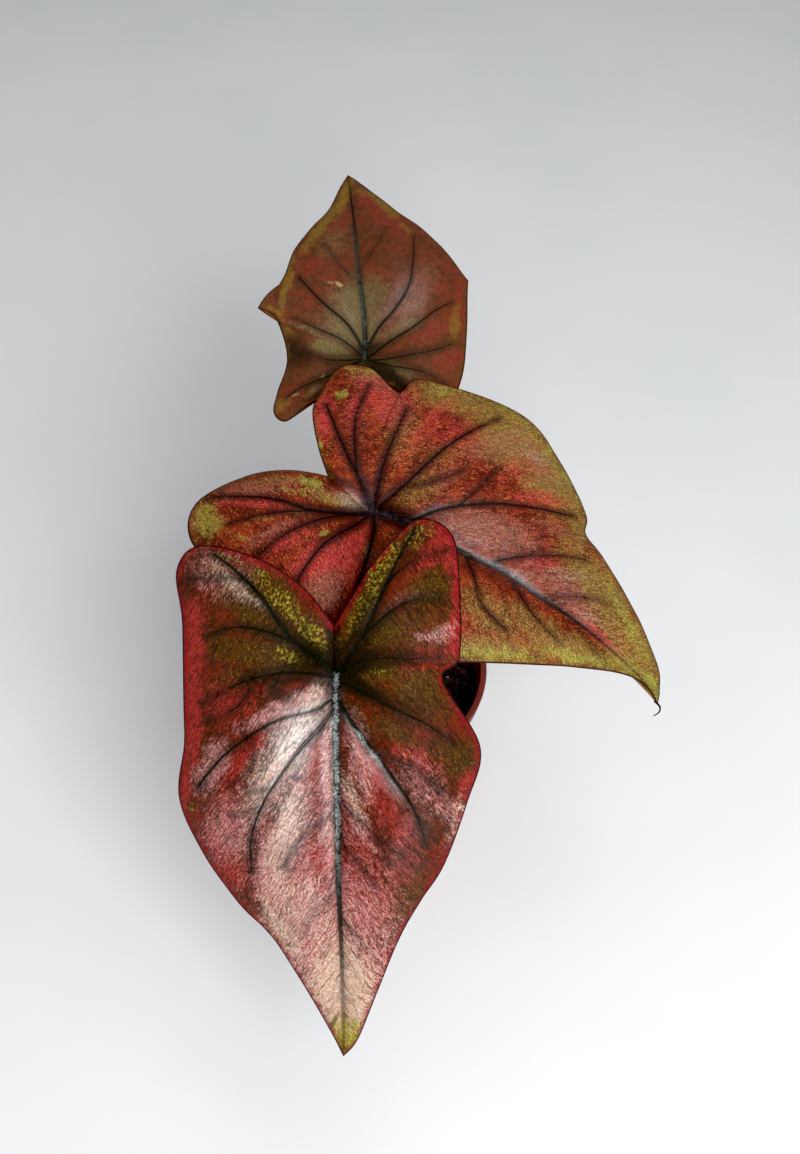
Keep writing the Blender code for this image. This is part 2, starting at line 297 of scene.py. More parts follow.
# %% Vein tables
FRONT_VEINS = [
    (3.4, 0.5, [(0, 0), (14, 0), (40, 0), (83, 0), (112, 0.5), (140, 0.5), (151, 0)]),
    (2.2, 0.7, [(0, -1), (-6, -5), (-15, -16), (-30, -26.5), (-39, -35.5), (-46, -45)]),
    (1.2, 0.5, [(-7, -8), (-11.5, -12.5), (-16.5, -22), (-19, -33), (-18, -41), (-15, -48)]),
    (0.5, 0.3, [(-33, -29), (-37, -36), (-37, -46), (-37, -54)]),
    (1.2, 0.4, [(0.5, -2), (-1, -9), (-2, -17), (-0.5, -29), (4, -40), (10, -50)]),
    (0.6, 0.4, [(-0.5, -30), (7, -33), (13, -40), (16, -48)]),
    (1.0, 0.9, [(8, -1), (12, -7), (15, -20), (20, -30), (29, -42), (41, -52)]),
    (1.3, 0.5, [(12, -1), (18, -5), (26, -13), (38, -22), (48, -28), (60, -32), (74, -32.5)]),
    (0.5, 0.2, [(39, -22.5), (41, -27), (43, -33)]),
    (0.5, 0.2, [(48, -27.5), (50, -33), (51, -39)]),
    (0.5, 0.2, [(50, -0.5), (54, -5.5), (60, -13), (66, -18), (71, -20)]),
    (0.4, 0.2, [(80, -0.5), (86, -5), (92, -11), (99, -14)]),
    (2.2, 0.7, [(-1, 1), (-6, 4.5), (-18, 12), (-31, 18), (-42, 23.5), (-55, 31)]),
    (0.9, 0.4, [(-33, 19), (-38, 23.5), (-43, 31), (-46, 42)]),
    (1.2, 0.4, [(-15, 10.5), (-20.5, 16.5), (-26, 24), (-28.5, 32), (-28, 40)]),
    (0.8, 0.3, [(0, 1.5), (-5, 8.5), (-7, 18), (-6.5, 29.5), (-7, 39)]),
    (1.1, 0.5, [(2, 1), (6, 10), (12, 22), (18, 34), (26, 44)]),
    (2.2, 0.6, [(9, 1), (16, 5), (26, 12.5), (37, 20.5), (50, 28.5), (64, 33)]),
    (0.6, 0.2, [(45, 1), (51, 5), (58, 13), (64, 17), (70, 18)]),
    (0.6, 0.3, [(57, 1), (65, 3), (72, 9), (80, 14)]),
    (0.4, 0.2, [(92, 1), (99, 5), (105, 9)]),
    (0.4, 0.2, [(0, -24), (5, -22), (9, -17)]),
    (0.4, 0.2, [(21, -32), (28, -30), (35, -33), (40, -40)]),
    (0.4, 0.2, [(28, 14), (31, 22), (35, 31), (44, 39)]),
]
MIDDLE_VEINS = [
    (3.0, 0.5, [(0, 2), (11, 3.5), (40, 4), (57, 7), (76, 7), (100, 7), (123, 5.5), (141, 2.5)]),
    (1.5, 0.6, [(-1, 3), (-10, 9), (-18, 14), (-27, 21.5), (-38, 33)]),
    (0.8, 0.4, [(-13, 11), (-20, 22), (-25, 34), (-27, 50)]),
    (1.2, 0.5, [(0, 4), (-3.5, 13.5), (-6, 24), (-8.5, 47)]),
    (1.2, 0.5, [(2, 5), (6.5, 16.5), (13, 38), (20, 54), (27, 67)]),
    (1.4, 0.5, [(17, 6), (25.5, 16), (41, 28.5), (59, 39), (75, 48)]),
    (0.6, 0.3, [(30, 21), (33, 30), (36, 43)]),
    (0.9, 0.4, [(52, 6), (57, 12), (71, 23), (88, 33)]),
    (0.6, 0.3, [(78, 7), (88, 14), (99, 20), (106, 22)]),
    (1.8, 0.6, [(-1, 0), (-9, -7), (-20, -14), (-34, -16.5), (-47, -20.5), (-58, -24)]),
    (0.8, 0.4, [(-17, -12.5), (-28, -19.5), (-36, -25), (-46, -33)]),
    (1.1, 0.4, [(-1, -1), (-10, -9.5), (-18, -19), (-25, -30), (-30, -42)]),
    (1.1, 0.5, [(0, -1), (-3, -10), (-9, -24), (-11, -40), (-9, -52)]),
    (1.4, 0.6, [(2, 0), (5, -7), (9, -25), (12, -44), (15, -52)]),
    (1.0, 0.4, [(24, 3), (27, -8), (32, -24), (38, -40)]),
    (0.9, 0.4, [(42, 3.5), (49, -3.5), (57, -12), (70, -15)]),
    (0.7, 0.3, [(64, 5.5), (72, 0), (82, -4), (92, -6)]),
    (0.4, 0.2, [(96, 6), (106, 1), (114, -1)]),
    (0.4, 0.2, [(5, 14), (15, 22), (24, 34)]),
]
BACK_VEINS = [
    (2.4, 0.4, [(0, 0), (20, -1), (45, -0.5), (80, -0.5), (114, 0)]),
    (1.3, 0.5, [(5, -1), (13, -6.5), (22, -15), (34, -22), (50, -25.5), (68, -27.5)]),
    (1.3, 0.5, [(1, -1.5), (5, -9), (10, -20.5), (19, -32), (25, -41)]),
    (0.9, 0.4, [(-1, -2), (-3, -13), (-2, -28), (4, -41)]),
    (0.9, 0.4, [(-2, -3), (-8, -13), (-13, -26), (-17, -33)]),
    (1.4, 0.6, [(6, 1), (16, 6.5), (28, 17.5), (44, 27)]),
    (1.0, 0.4, [(2, 1.5), (8, 9), (13, 20), (20, 31)]),
    (1.0, 0.4, [(0, 2), (-2, 10), (-2, 18), (3, 27)]),
    (1.3, 0.5, [(-1, 2), (-5, 8), (-11, 16), (-15, 28), (-19, 36)]),
    (0.6, 0.3, [(40, 0), (50, 8), (63, 14)]),
    (0.6, 0.3, [(48, -1), (60, -9), (72, -15)]),
]
print("veins", len(FRONT_VEINS), len(MIDDLE_VEINS), len(BACK_VEINS))

# %% [markdown]
# ## The blades' paint
#
# The colours of this plant aren't spread at random: each blade has its own patches of olive,
# lime, crimson, rose and cream. Shade is no pigment but painted shade, dark where the lobes meet
# behind the stalk, round the dimple over it and along a few folds. Where pale rose and cream lie
# on the wax, on the front blade and by the middle blade's stalk, they also paint in part of the
# sheen, so there they are partly pigment and partly a painted highlight. A few soft ellipses on
# the blade's plan say where each of these gathers. A row holds along, across, half length, half
# width, turn in degrees from the midrib, and strength. Full strength covers, and half strength
# gives the fine stipple in which both colours show. Noise in the finish breaks every border up.
# Wax isn't a pigment: it says where the skin is smoothest, and so shines most.

# %% Pigment and painted light tables
FRONT_PAINT = {
    "olive": [
        (-22, -15, 20, 5, 35, 1), (-22, -27, 13, 5, 55, 0.8), (-8, -21, 14, 5, 80, 0.9),
        (-27, 12, 22, 3, 150, 1), (-32, 35, 9, 6, 110, 0.8), (-16, 18, 11, 5, 120, 0.8),
        (-1, 17, 13, 5, 90, 0.8), (31, 44, 7, 10, 170, 0.7), (-1, -34, 12, 3, 105, 0.6),
        (22, 23, 12, 3, 45, 0.6), (15, 8, 8, 3, 40, 0.6), (-18, 30, 16, 9, 110, 0.5),
        (10, 30, 12, 7, 60, 0.5), (90, 26, 13, 7, 150, 0.7), (-30, -30, 16, 8, 55, 0.7),
        (-12, -38, 14, 6, 80, 0.6), (4, 34, 16, 8, 80, 0.7)],
    "lime": [
        (-36, -28, 3, 2, 150, 1), (-34, 15, 4, 3, 160, 1), (-42, 19, 8, 3, 150, 0.9),
        (-55, 33, 7, 3, 150, 0.8), (-8, -16, 5, 2, 70, 0.9), (-16, -8, 9, 2.5, 32, 1),
        (-27, -18, 9, 3, 45, 0.8), (-24, 10, 7, 3, 155, 0.6), (-35, -40, 12, 6, 60, 0.14),
        (-26, -17, 5, 2, 40, 0.5), (50, -55, 2, 1, 150, 0.9), (148, 1, 11, 8, 0, 0.85),
        (-43, -39, 7, 2, 70, 0.4), (-2, 17, 4, 2, 90, 0.4)],
    "crimson": [
        (-9, -53, 17, 4, 175, 1), (16, -54, 20, 4, 175, 1), (41, -57, 10, 3, 165, 0.9),
        (-47, 44, 11, 5, 30, 1), (-33, 47, 8, 3, 180, 1), (-15, 45, 8, 3, 170, 0.9),
        (-45, 36, 9, 4, 140, 0.7), (-45, -32, 11, 2, 55, 0.5), (25, -30, 9, 4, 150, 0.8),
        (51, -35, 10, 7, 150, 0.7), (30, -7, 9, 4, 160, 0.7), (71, -7, 10, 4, 175, 0.8),
        (35, 13, 9, 4, 30, 0.9), (51, 20, 18, 6, 30, 0.55), (82, 12, 16, 6, 170, 0.7),
        (9, -41, 12, 8, 100, 0.5), (36, -38, 10, 6, 150, 0.6), (31, 30, 9, 4, 60, 0.7),
        (68, -42, 12, 6, 25, 0.7), (43, 49, 8, 3, 165, 0.6), (-6, 34, 8, 4, 110, 0.5),
        (86, -25, 7, 4, 35, 0.35), (88, -4, 42, 23, 178, 0.7)],
    # Rose is pigment, but the rows that lie along the wax also paint in part of its sheen: there
    # rose is partly a painted highlight.
    "rose": [
        (12, -17, 15, 4, 110, 1), (40, -24, 16, 4, 150, 1), (69, -23, 16, 6, 165, 1),
        (90, -11, 13, 6, 170, 0.9), (52, -3, 44, 2, 180, 0.9), (30, 9, 15, 4, 10, 0.7),
        (40, 31, 13, 8, 35, 0.38), (52, 42, 10, 4, 35, 0.5), (104, -2, 32, 22, 175, 0.7),
        (-39, -42, 14, 9, 60, 0.36), (57, -38, 14, 12, 170, 0.55), (62, -15, 30, 22, 165, 0.4),
        (60, 20, 30, 14, 20, 0.15), (-15, 38, 8, 3, 105, 0.5), (54, 7, 12, 3, 30, 0.7),
        (97, 10, 12, 5, 160, 0.5), (33, -46, 10, 5, 150, 0.7), (-28, 24, 7, 2, 125, 0.2)],
    # The cream at the tip is pigment. The rows along the wax, from the stalk down the left half
    # and on the left lobe, also paint in part of its sheen, so there cream is partly a painted
    # highlight.
    "cream": [
        (128, 0, 26, 12, 0, 0.95), (98, -21, 16, 6, 25, 0.6), (103, 17, 12, 3, 145, 0.2),
        (104, -4, 16, 9, 175, 0.45), (56, 46, 10, 4, 165, 0.4), (113, -12, 13, 4, 30, 0.4),
        (116, 8, 13, 3, 155, 0.4), (88, -12, 15, 6, 170, 0.45), (65, 41, 8, 4, 135, 0.15),
        (-35, -37, 12, 2.5, 50, 0.5), (-38, -46, 8, 6, 90, 0.18), (31, -27, 14, 5, 150, 0.4),
        (-15, 38, 6, 3, 105, 0.2), (12, -10, 13, 4, 150, 0.6), (33, -21, 22, 5, 150, 0.6),
        (45, -30, 9, 4, 150, 0.5), (62, -21, 22, 5, 168, 0.6), (82, -20, 17, 5, 12, 0.5),
        (38, -2, 34, 2, 180, 0.3), (46, 6, 11, 3, 20, 0.5)],
    # Painted shade: dark in the crease where the lobes meet behind the stalk, and round the
    # dimple.
    "shade": [
        (-7, 0, 8, 3, 175, 1), (-12, 0, 8, 1, 180, 0.8), (-4, 8, 9, 3, 135, 0.9),
        (9, 23, 14, 2, 65, 0.4), (-5, -49, 8, 3, 175, 0.3), (-7, -8, 8, 3, 40, 0.7),
        (-16, -1, 10, 3, 0, 1), (3, 8, 13, 3, 62, 0.9), (-20, 9, 12, 2, 155, 0.6)],
    "wax": [
        (13, -9, 9, 5, 150, 0.9), (31, -20, 25, 7, 150, 1), (64, -20, 24, 7, 170, 0.85),
        (84, -16, 20, 6, 5, 0.8), (50, -3, 52, 3, 0, 0.5), (27, 10, 16, 3, 35, 0.7),
        (66, 28, 15, 6, 160, 0.35), (-33, -35, 9, 2.5, 50, 0.6)],
}
MIDDLE_PAINT = {
    "olive": [
        (6, 65, 18, 9, 25, 0.7), (33, 63, 18, 15, 160, 0.9), (58, 56, 17, 14, 150, 0.85),
        (78, 46, 11, 6, 120, 0.7), (102, 26, 17, 11, 150, 0.7), (127, 15, 14, 8, 150, 0.8),
        (69, -25, 20, 5, 30, 0.7), (98, -6, 20, 6, 20, 0.8), (123, 3, 12, 9, 175, 0.8),
        (12, 16, 11, 5, 65, 0.5), (14, 37, 11, 5, 65, 0.4), (-14, -4, 11, 3, 20, 0.7),
        (-39, -9, 12, 3, 30, 0.5), (62, -13, 15, 8, 175, 0.55), (-3, 34, 12, 8, 90, 0.4),
        (82, -6, 16, 6, 0, 0.6), (92, 26, 20, 9, 150, 0.7), (112, 12, 18, 7, 160, 0.6)],
    "lime": [
        (53, 68, 27, 4, 150, 0.5), (28, 75, 12, 3, 170, 0.5), (113, 22, 17, 4, 150, 0.6),
        (70, -26, 20, 2, 30, 0.8), (102, -6, 16, 2, 25, 0.8), (124, 4, 9, 4, 170, 0.7),
        (-26, -3, 4, 2, 175, 1), (-26, -8, 4, 1, 30, 0.5), (-54, -34, 8, 5, 135, 0.8),
        (-39, -36, 4, 1, 10, 0.6), (-29, -11, 7, 1, 5, 0.5), (-11, -21, 2, 1, 45, 1),
        (-35, 40, 2, 2, 115, 1), (-29, 11, 10, 1, 125, 0.6), (-32, 57, 7, 4, 35, 0.5),
        (-24, -18, 4, 1, 30, 0.7), (-36, -27, 6, 1, 35, 0.4), (6, -18, 4, 1, 105, 0.6),
        (0, 67, 7, 5, 25, 0.5), (138, 4, 6, 3, 160, 0.9)],
    "crimson": [
        (-20, 48, 13, 7, 140, 0.9), (-36, 26, 11, 4, 110, 0.8), (-26, 34, 10, 3, 110, 0.7),
        (3, 46, 19, 4, 80, 0.5), (16, 48, 13, 6, 55, 0.5), (-7, -32, 11, 7, 60, 0.8),
        (1, -18, 12, 5, 100, 0.7), (-22, -29, 10, 4, 60, 0.5), (44, 50, 14, 6, 50, 0.45),
        (-42, -22, 14, 2, 20, 0.6), (-14, 52, 6, 7, 105, 0.6), (58, 43, 12, 4, 35, 0.6),
        (67, 17, 10, 3, 35, 0.5), (108, 8, 16, 2, 175, 0.6), (3, -29, 8, 6, 90, 0.6)],
    # The last two rows, by the stalk where the wax is, are partly a painted highlight of its
    # sheen.
    "rose": [
        (40, 17, 20, 6, 25, 0.8), (-1, -42, 9, 6, 80, 0.8), (-45, -16, 13, 4, 30, 0.7),
        (55, 18, 12, 5, 35, 0.6), (50, 61, 12, 9, 175, 0.6), (31, 54, 18, 6, 55, 0.6),
        (77, 14, 16, 5, 10, 0.6), (-25, 57, 10, 8, 40, 0.6), (-14, 48, 12, 8, 120, 0.4),
        (-30, -31, 10, 3, 55, 0.6), (19, 27, 8, 5, 60, 0.5), (94, 12, 12, 5, 175, 0.5),
        (69, 36, 10, 4, 20, 0.5), (-7, -1, 6, 3, 10, 0.7), (-11, -1, 5, 3, 10, 0.5)],
    # The first two rows, by the stalk where the wax is, are partly a painted highlight of its
    # sheen.
    "cream": [
        (-8, -1, 6, 3, 10, 0.9), (-3, 1, 3, 2, 5, 0.8), (84, 22, 9, 3, 25, 0.4),
        (47, 61, 7, 4, 10, 0.4), (7, -17, 3, 1, 100, 0.5), (98, 11, 6, 2, 15, 0.4)],
    # Painted shade round the dimple over the stalk, behind it where the lobes meet, and along the
    # midrib.
    "shade": [
        (3, 3, 8, 4, 15, 1), (13, 3, 12, 4, 5, 0.9), (-23, 5, 8, 2, 160, 0.9),
        (42, -2, 8, 3, 0, 0.4), (55, 3, 12, 3, 5, 0.4), (-16, 5, 6, 2, 175, 0.7)],
    "wax": [
        (-8, -1, 9, 4, 10, 1), (24, 9, 22, 2, 15, 0.3), (60, 6, 18, 3, 0, 0.7),
        (42, 15, 22, 9, 20, 0.45), (90, 18, 20, 8, 160, 0.3)],
}
BACK_PAINT = {
    "olive": [
        (20, 3, 20, 11, 165, 0.9), (-7, -9, 12, 3, 55, 0.9), (3, 15, 10, 3, 75, 0.9),
        (30, -5, 13, 7, 175, 0.6), (12, 23, 11, 2, 60, 0.6), (63, 11, 13, 6, 155, 0.4),
        (-18, 24, 5, 2, 115, 0.6), (11, -17, 11, 3, 115, 0.6), (-11, 10, 6, 2, 125, 0.7)],
    "lime": [
        (44, 32, 18, 2, 170, 1), (82, 12, 22, 3, 150, 1), (104, 2, 11, 2, 160, 1),
        (91, -15, 11, 3, 30, 0.9), (14, -41, 11, 2, 170, 0.6), (23, 38, 5, 1, 45, 0.9),
        (-21, 38, 4, 3, 70, 0.7), (101, -5, 5, 2, 30, 0.6), (72, -23, 9, 2, 35, 0.5),
        (13, 33, 7, 2, 30, 0.6)],
    "crimson": [
        (50, 21, 8, 5, 135, 0.7), (41, 13, 7, 4, 65, 0.5), (38, -46, 7, 2, 165, 1),
        (8, -29, 10, 3, 120, 0.9), (-6, -35, 8, 4, 125, 0.8), (78, -18, 16, 7, 30, 0.7),
        (96, -6, 9, 3, 15, 0.8), (-19, 32, 6, 3, 90, 0.6), (52, -35, 13, 7, 15, 0.4),
        (81, 4, 7, 5, 160, 0.4), (-3, 29, 6, 2, 60, 0.3), (34, -27, 10, 4, 150, 0.4),
        (27, -44, 20, 3, 175, 0.8), (-13, 8, 8, 4, 120, 0.6)],
    "rose": [
        (22, -23, 14, 4, 140, 0.7), (30, 10, 7, 6, 70, 0.4), (-18, 32, 2, 1, 105, 0.8),
        (36, -30, 12, 5, 155, 0.5), (54, 29, 3, 4, 155, 0.5), (11, -19, 9, 1, 120, 0.5)],
    "cream": [
        (38, 10, 2, 1, 45, 1), (38, 14, 2, 1, 90, 0.5), (-12, 19, 1, 1, 85, 0.8),
        (-18, 32, 2, 1, 105, 0.6), (-24, 25, 1, 1, 90, 0.5)],
    # Painted shade round the dimple over the stalk, behind it, and in a fold of a lobe.
    "shade": [
        (3, -1, 6, 4, 120, 1), (-11, -8, 14, 4, 35, 1), (3, 30, 9, 6, 45, 0.7),
        (-21, 25, 5, 1, 110, 0.5), (-7, 8, 5, 1, 125, 0.5)],
    "wax": [
        (22, 0, 18, 6, 0, 0.55), (26, -18, 20, 8, 145, 0.8), (8, 8, 10, 5, 60, 0.3),
        (50, 0, 25, 2, 0, 0.6)],
}
# The layers of paint: shade among them is painted shade, and rose and cream are partly a painted
# highlight where they lie on the wax.
PIGMENTS_AND_PAINTED_LIGHT = ["olive", "crimson", "rose", "cream", "lime", "shade"]
FIELDS = PIGMENTS_AND_PAINTED_LIGHT + ["wax"]
print("patches", [sum(len(rows) for rows in paint.values())
                  for paint in (FRONT_PAINT, MIDDLE_PAINT, BACK_PAINT)])

# %% [markdown]
# ## The three leaves
#
# Where each blade is held, which way its midrib points, and how it bends are the construction
# model's own numbers. Two rows add what only this model has. The tip of the middle blade is
# withered into a hook, whose line is given on the plan as along, across and height. The margin of
# the back blade is broken into corners: a row says on which half a corner is and at which rib,
# how far it is pulled along and across, and over how many ribs the pull fades.

# %% Leaves
LEAVES = {
    "front": {
        "ribs": FRONT_RIBS, "veins": FRONT_VEINS, "paint": FRONT_PAINT, "attach": (-14, -61, 180),
        "heading": -89, "slope": 39, "roll": 0, "droop": 22, "sweep": 0, "dimple": 5,
        "stalk_angle": -100, "sheath": 30, "seed": 3.0,
    },
    "middle": {
        "ribs": MIDDLE_RIBS, "veins": MIDDLE_VEINS, "paint": MIDDLE_PAINT, "attach": (-1, 11, 190),
        "heading": -24, "slope": 18, "roll": 8, "droop": 26, "sweep": 6, "dimple": 5,
        "stalk_angle": 15, "sheath": 24, "seed": 11.0,
        "hook": [(142, 0.2, -25.6), (144.2, -0.1, -26.1), (145.6, -0.8, -26.6),
                 (146.1, -2.2, -27.2), (145.6, -3.6, -27.9), (144.9, -4.6, -28.6)],
    },
    "back": {
        "ribs": BACK_RIBS, "veins": BACK_VEINS, "paint": BACK_PAINT, "attach": (-5, 94, 195),
        "heading": 95, "slope": -11, "roll": 0, "droop": 16, "sweep": 0, "dimple": 4,
        "stalk_angle": 130, "sheath": 27, "seed": 23.0,
        "corners": [(1, 7.75, -2, 4.5, 0.35), (1, 8.6, -1, -2.5, 0.7), (-1, 8.1, 1.5, -3.0, 0.5)],
    },
}
print("leaves", list(LEAVES))

# %% [markdown]
# ## A blade's surface
#
# This is the construction model's rule again, kept as numbers on the blade's plan: along, across,
# and height out of the upper face. Each rib is a bowed line from the midrib to the margin. The
# height adds the droop of the whole blade, the lift of its margin, a low arch in each half, and
# the dimple over the stalk.

# %% Surface rule
BLADE_ARCH = 0.05
RIB_BOW = 0.17
MARGIN_CURL = 4
DIMPLE_RADIUS = 14.0
LOBE_REACH = 60.0
LOBE_DROOP = 0.5


def blade_axes(leaf):
    """Directions along the midrib, across to the right half, and out of the upper face."""
    heading, slope, roll = [radians(leaf[name]) for name in ("heading", "slope", "roll")]
    along = np.array((cos(heading) * cos(slope), sin(heading) * cos(slope), -sin(slope)))
    level = np.array((-sin(heading), cos(heading), 0.0))
    across = level * cos(roll) + np.cross(along, level) * sin(roll)
    return along, across, np.cross(along, across)


def smooth_rows(rows, places):
    """Rows of a table read at fractional places, on a Catmull-Rom curve through them."""
    last = len(rows) - 1
    first = np.clip(np.floor(places).astype(int), 0, last - 1)
    part = (places - first)[:, None]
    before = rows[np.clip(first - 1, 0, last)]
    here = rows[first]
    after = rows[first + 1]
    beyond = rows[np.clip(first + 2, 0, last)]
    line = 2 * here + (after - before) * part
    bend = (2 * before - 5 * here + 4 * after - beyond) * part**2
    twist = (3 * here - before - 3 * after + beyond) * part**3
    return 0.5 * (line + bend + twist)


def half_plan(leaf, side, places, steps):
    """Along, across and height of one half: columns follow the ribs, steps run to the margin."""
    table = np.array(leaf["ribs"], float)
    columns = [0, 1, 2, 3] if side < 0 else [0, 4, 5, 6]
    ribs = smooth_rows(table[:, columns], places)
    for half, rib, more_along, more_across, width in leaf.get("corners", []):
        if half == side:
            pull = np.exp(-np.abs(places - rib) / width)
            ribs[:, 1:3] += pull[:, None] * (more_along, more_across)
    length = table[-1, 0]
    start = ribs[:, 0]
    share = np.clip(start / length, 0, 1)
    sideways = leaf["sweep"] * 4 * share * (1 - share)
    sideways += table[0, 2] * np.clip(start / table[0, 0], 0, 1)
    root = np.stack([start, sideways], -1)
    chord = ribs[:, 1:3] - root
    reach = np.hypot(chord[:, 0], chord[:, 1])
    backward = np.minimum(chord[:, 0] / np.maximum(reach, 0.001), 0)
    bow = RIB_BOW * (1 - backward**2)
    baseward = side * np.stack([-chord[:, 1], chord[:, 0]], -1)
    bend = root + 0.5 * chord + baseward * bow[:, None]
    out = steps[None, :, None]
    flat = (1 - out)**2 * root[:, None] + 2 * out * (1 - out) * bend[:, None]
    flat = flat + out**2 * ribs[:, None, 1:3]
    along, across = flat[..., 0], flat[..., 1]
    height = -leaf["droop"] * (np.maximum(along, 0) / length)**2
    height -= LOBE_DROOP * leaf["droop"] * (np.maximum(-along, 0) / LOBE_REACH)**2
    height += ribs[:, 3][:, None] * steps**MARGIN_CURL
    height += BLADE_ARCH * reach[:, None] * np.sin(pi * steps)
    height -= leaf["dimple"] * np.exp(-(along**2 + across**2) / DIMPLE_RADIUS**2)
    return along, across, height


def stand_up(leaf, along, across, height):
    """Plan coordinates in millimetres to places in metres."""
    to_tip, to_right, outward = blade_axes(leaf)
    place = np.array(leaf["attach"], float) + along[..., None] * to_tip
    return (place + across[..., None] * to_right + height[..., None] * outward) * MM


print("surface rule repeated")

# %% [markdown]
# ## Measuring on a blade
#
# The relief and the finish both need to know how far a point is from the nearest vein and from
# the margin. Distances are taken to the segments of a line, on the plan, for all points at once.
# Beside the plain distance, a vein gives the distance in half widths, so a thin vein and a thick
# one can be cut by the same rule, and how far along the vein the nearest place is. Runs start a
# step apart, so the strokes beside two veins never match.

# %% Distances
VEIN_STEP = 1.5
RUN_APART = 40.0
FAR_AWAY = 99.0
MEASURED_AT_ONCE = 4000


def smooth_line(points, step):
    """A given line, rounded through its points and cut into steps of about that length."""
    points = np.array(points, float)
    length = np.hypot(*np.diff(points, axis=0).T).sum()
    places = np.linspace(0, len(points) - 1, max(3, int(length / step) + 1))
    return smooth_rows(points, places)


def to_segments(points, start, end):
    """For each point the smallest distance to the segments, its segment and its share."""
    step = end - start
    size = np.maximum((step**2).sum(1), 1e-9)
    near = np.empty(len(points))
    which = np.empty(len(points), int)
    share = np.empty(len(points))
    for first in range(0, len(points), MEASURED_AT_ONCE):
        chunk = slice(first, first + MEASURED_AT_ONCE)
        part = points[chunk, None]
        along = np.clip(((part - start) * step).sum(2) / size, 0, 1)
        gap = np.hypot(*np.moveaxis(part - start - along[..., None] * step, 2, 0))
        best = gap.argmin(1)
        rows = np.arange(len(best))
        near[chunk] = gap[rows, best]
        which[chunk] = best
        share[chunk] = along[rows, best]
    return near, which, share


def vein_distances(leaf, points):
    """Millimetres to the nearest vein, half widths to it, and the run along it."""
    near = np.full(len(points), FAR_AWAY)
    ratio = near.copy()
    run = np.zeros(len(points))
    for number, (wide, narrow, line) in enumerate(leaf["veins"]):
        path = smooth_line(line, VEIN_STEP)
        gap, which, share = to_segments(points, path[:-1], path[1:])
        travel = (which + share) / (len(path) - 1)
        half_width = 0.5 * (wide + (narrow - wide) * travel)
        closer = gap < near
        near[closer] = gap[closer]
        run[closer] = RUN_APART * number + travel[closer] * (len(path) - 1) * VEIN_STEP
        ratio = np.minimum(ratio, gap / half_width)
    return near, ratio, run


print("distances can be measured")

# %% [markdown]
# ## A blade as a mesh
#
# A blade is one closed skin: an upper sheet, a lower sheet about 0.4 mm below it, and a rounded
# margin between them. Columns are set about a millimetre apart along the margin, and the ribs
# themselves are columns, so the big veins stay crisp. On the upper sheet veins are grooves and
# the blade swells between them; on the lower sheet the same veins stand out as cords.

# %% Blade mesh
MARGIN_SPACING = 1.05
FEWEST_COLUMNS = 4
BLADE_STEPS = 58
STEP_CROWDING = 1.15  # above 1, steps crowd towards the margin
BLADE_THICKNESS = 0.42
MARGIN_THICKNESS = 0.3
MARGIN_ROUNDING = 0.4
FULL_THICKNESS_FROM = 5  # from the margin
GROOVE_DEPTH = 0.42
GROOVE_WIDTH = 1.25  # in half widths of the vein
SWELL = 0.55
SWELL_REACH = 5.0  # from a vein to where the swell is high
FULL_SWELL_VEIN = 0.5  # half width of a vein that dips the swell fully
VEIN_HALF_WIDTHS = (0.15, 1.8)
CORD_HEIGHT = 0.9
WAVE_HEIGHT = 0.45
WAVE_LENGTH = 17.0
WAVES_GROW = (2, 16)  # between these distances from the stalk
RIPPLE_HEIGHT = 0.12
RIPPLE_LENGTH = 6.5
PAINT_SHIFT = 2.0  # how far noise moves the patches
PAINT_SHIFT_LENGTH = 7.0
PAINT_FADE = (1.9, 0.3)  # in half lengths, from nothing to full


def smooth_rise(values, low, high):
    """0 at low, 1 at high, with an S-shaped rise between."""
    share = np.clip((values - low) / (high - low), 0, 1)
    return share * share * (3 - 2 * share)


def waver(x, y, z):
    """Smooth noise from -1 to 1 with features of about one unit."""
    return noise.noise(Vector((x, y, z)))


def noise_at(points, length, seed):
    """Smooth noise on the plan, with bumps of about that length."""
    return np.array([waver(a / length, b / length, seed) for a, b in points])


def new_mesh(name, points, faces, edges=()):
    mesh = bpy.data.meshes.new(name)
    mesh.from_pydata(points, edges, faces)
    return mesh


def close_places(leaf):
    """Places along the ribs' table that lie evenly close on the margin."""
    spans = len(leaf["ribs"]) - 1
    fine = np.linspace(0, spans, spans * 20 + 1)
    length = np.zeros(spans)
    for side in (-1, 1):
        along, across, _ = half_plan(leaf, side, fine, np.array([1.0]))
        piece = np.hypot(np.diff(along[:, 0]), np.diff(across[:, 0]))
        length = np.maximum(length, piece.reshape(spans, 20).sum(1))
    places = [np.array([0.0])]
    for span in range(spans):
        count = max(FEWEST_COLUMNS, int(np.ceil(length[span] / MARGIN_SPACING)))
        places.append(span + np.arange(1, count + 1) / count)
    return np.concatenate(places)


def margin_line(leaf):
    """The outline of a blade on its plan, as one closed line."""
    places = close_places(leaf)
    sides = []
    for side in (-1, 1):
        along, across, _ = half_plan(leaf, side, places, np.array([1.0]))
        sides.append(np.stack([along[:, 0], across[:, 0]], -1))
    return np.concatenate([sides[0], sides[1][::-1]])


print("columns on a half", {side: len(close_places(leaf)) for side, leaf in LEAVES.items()})
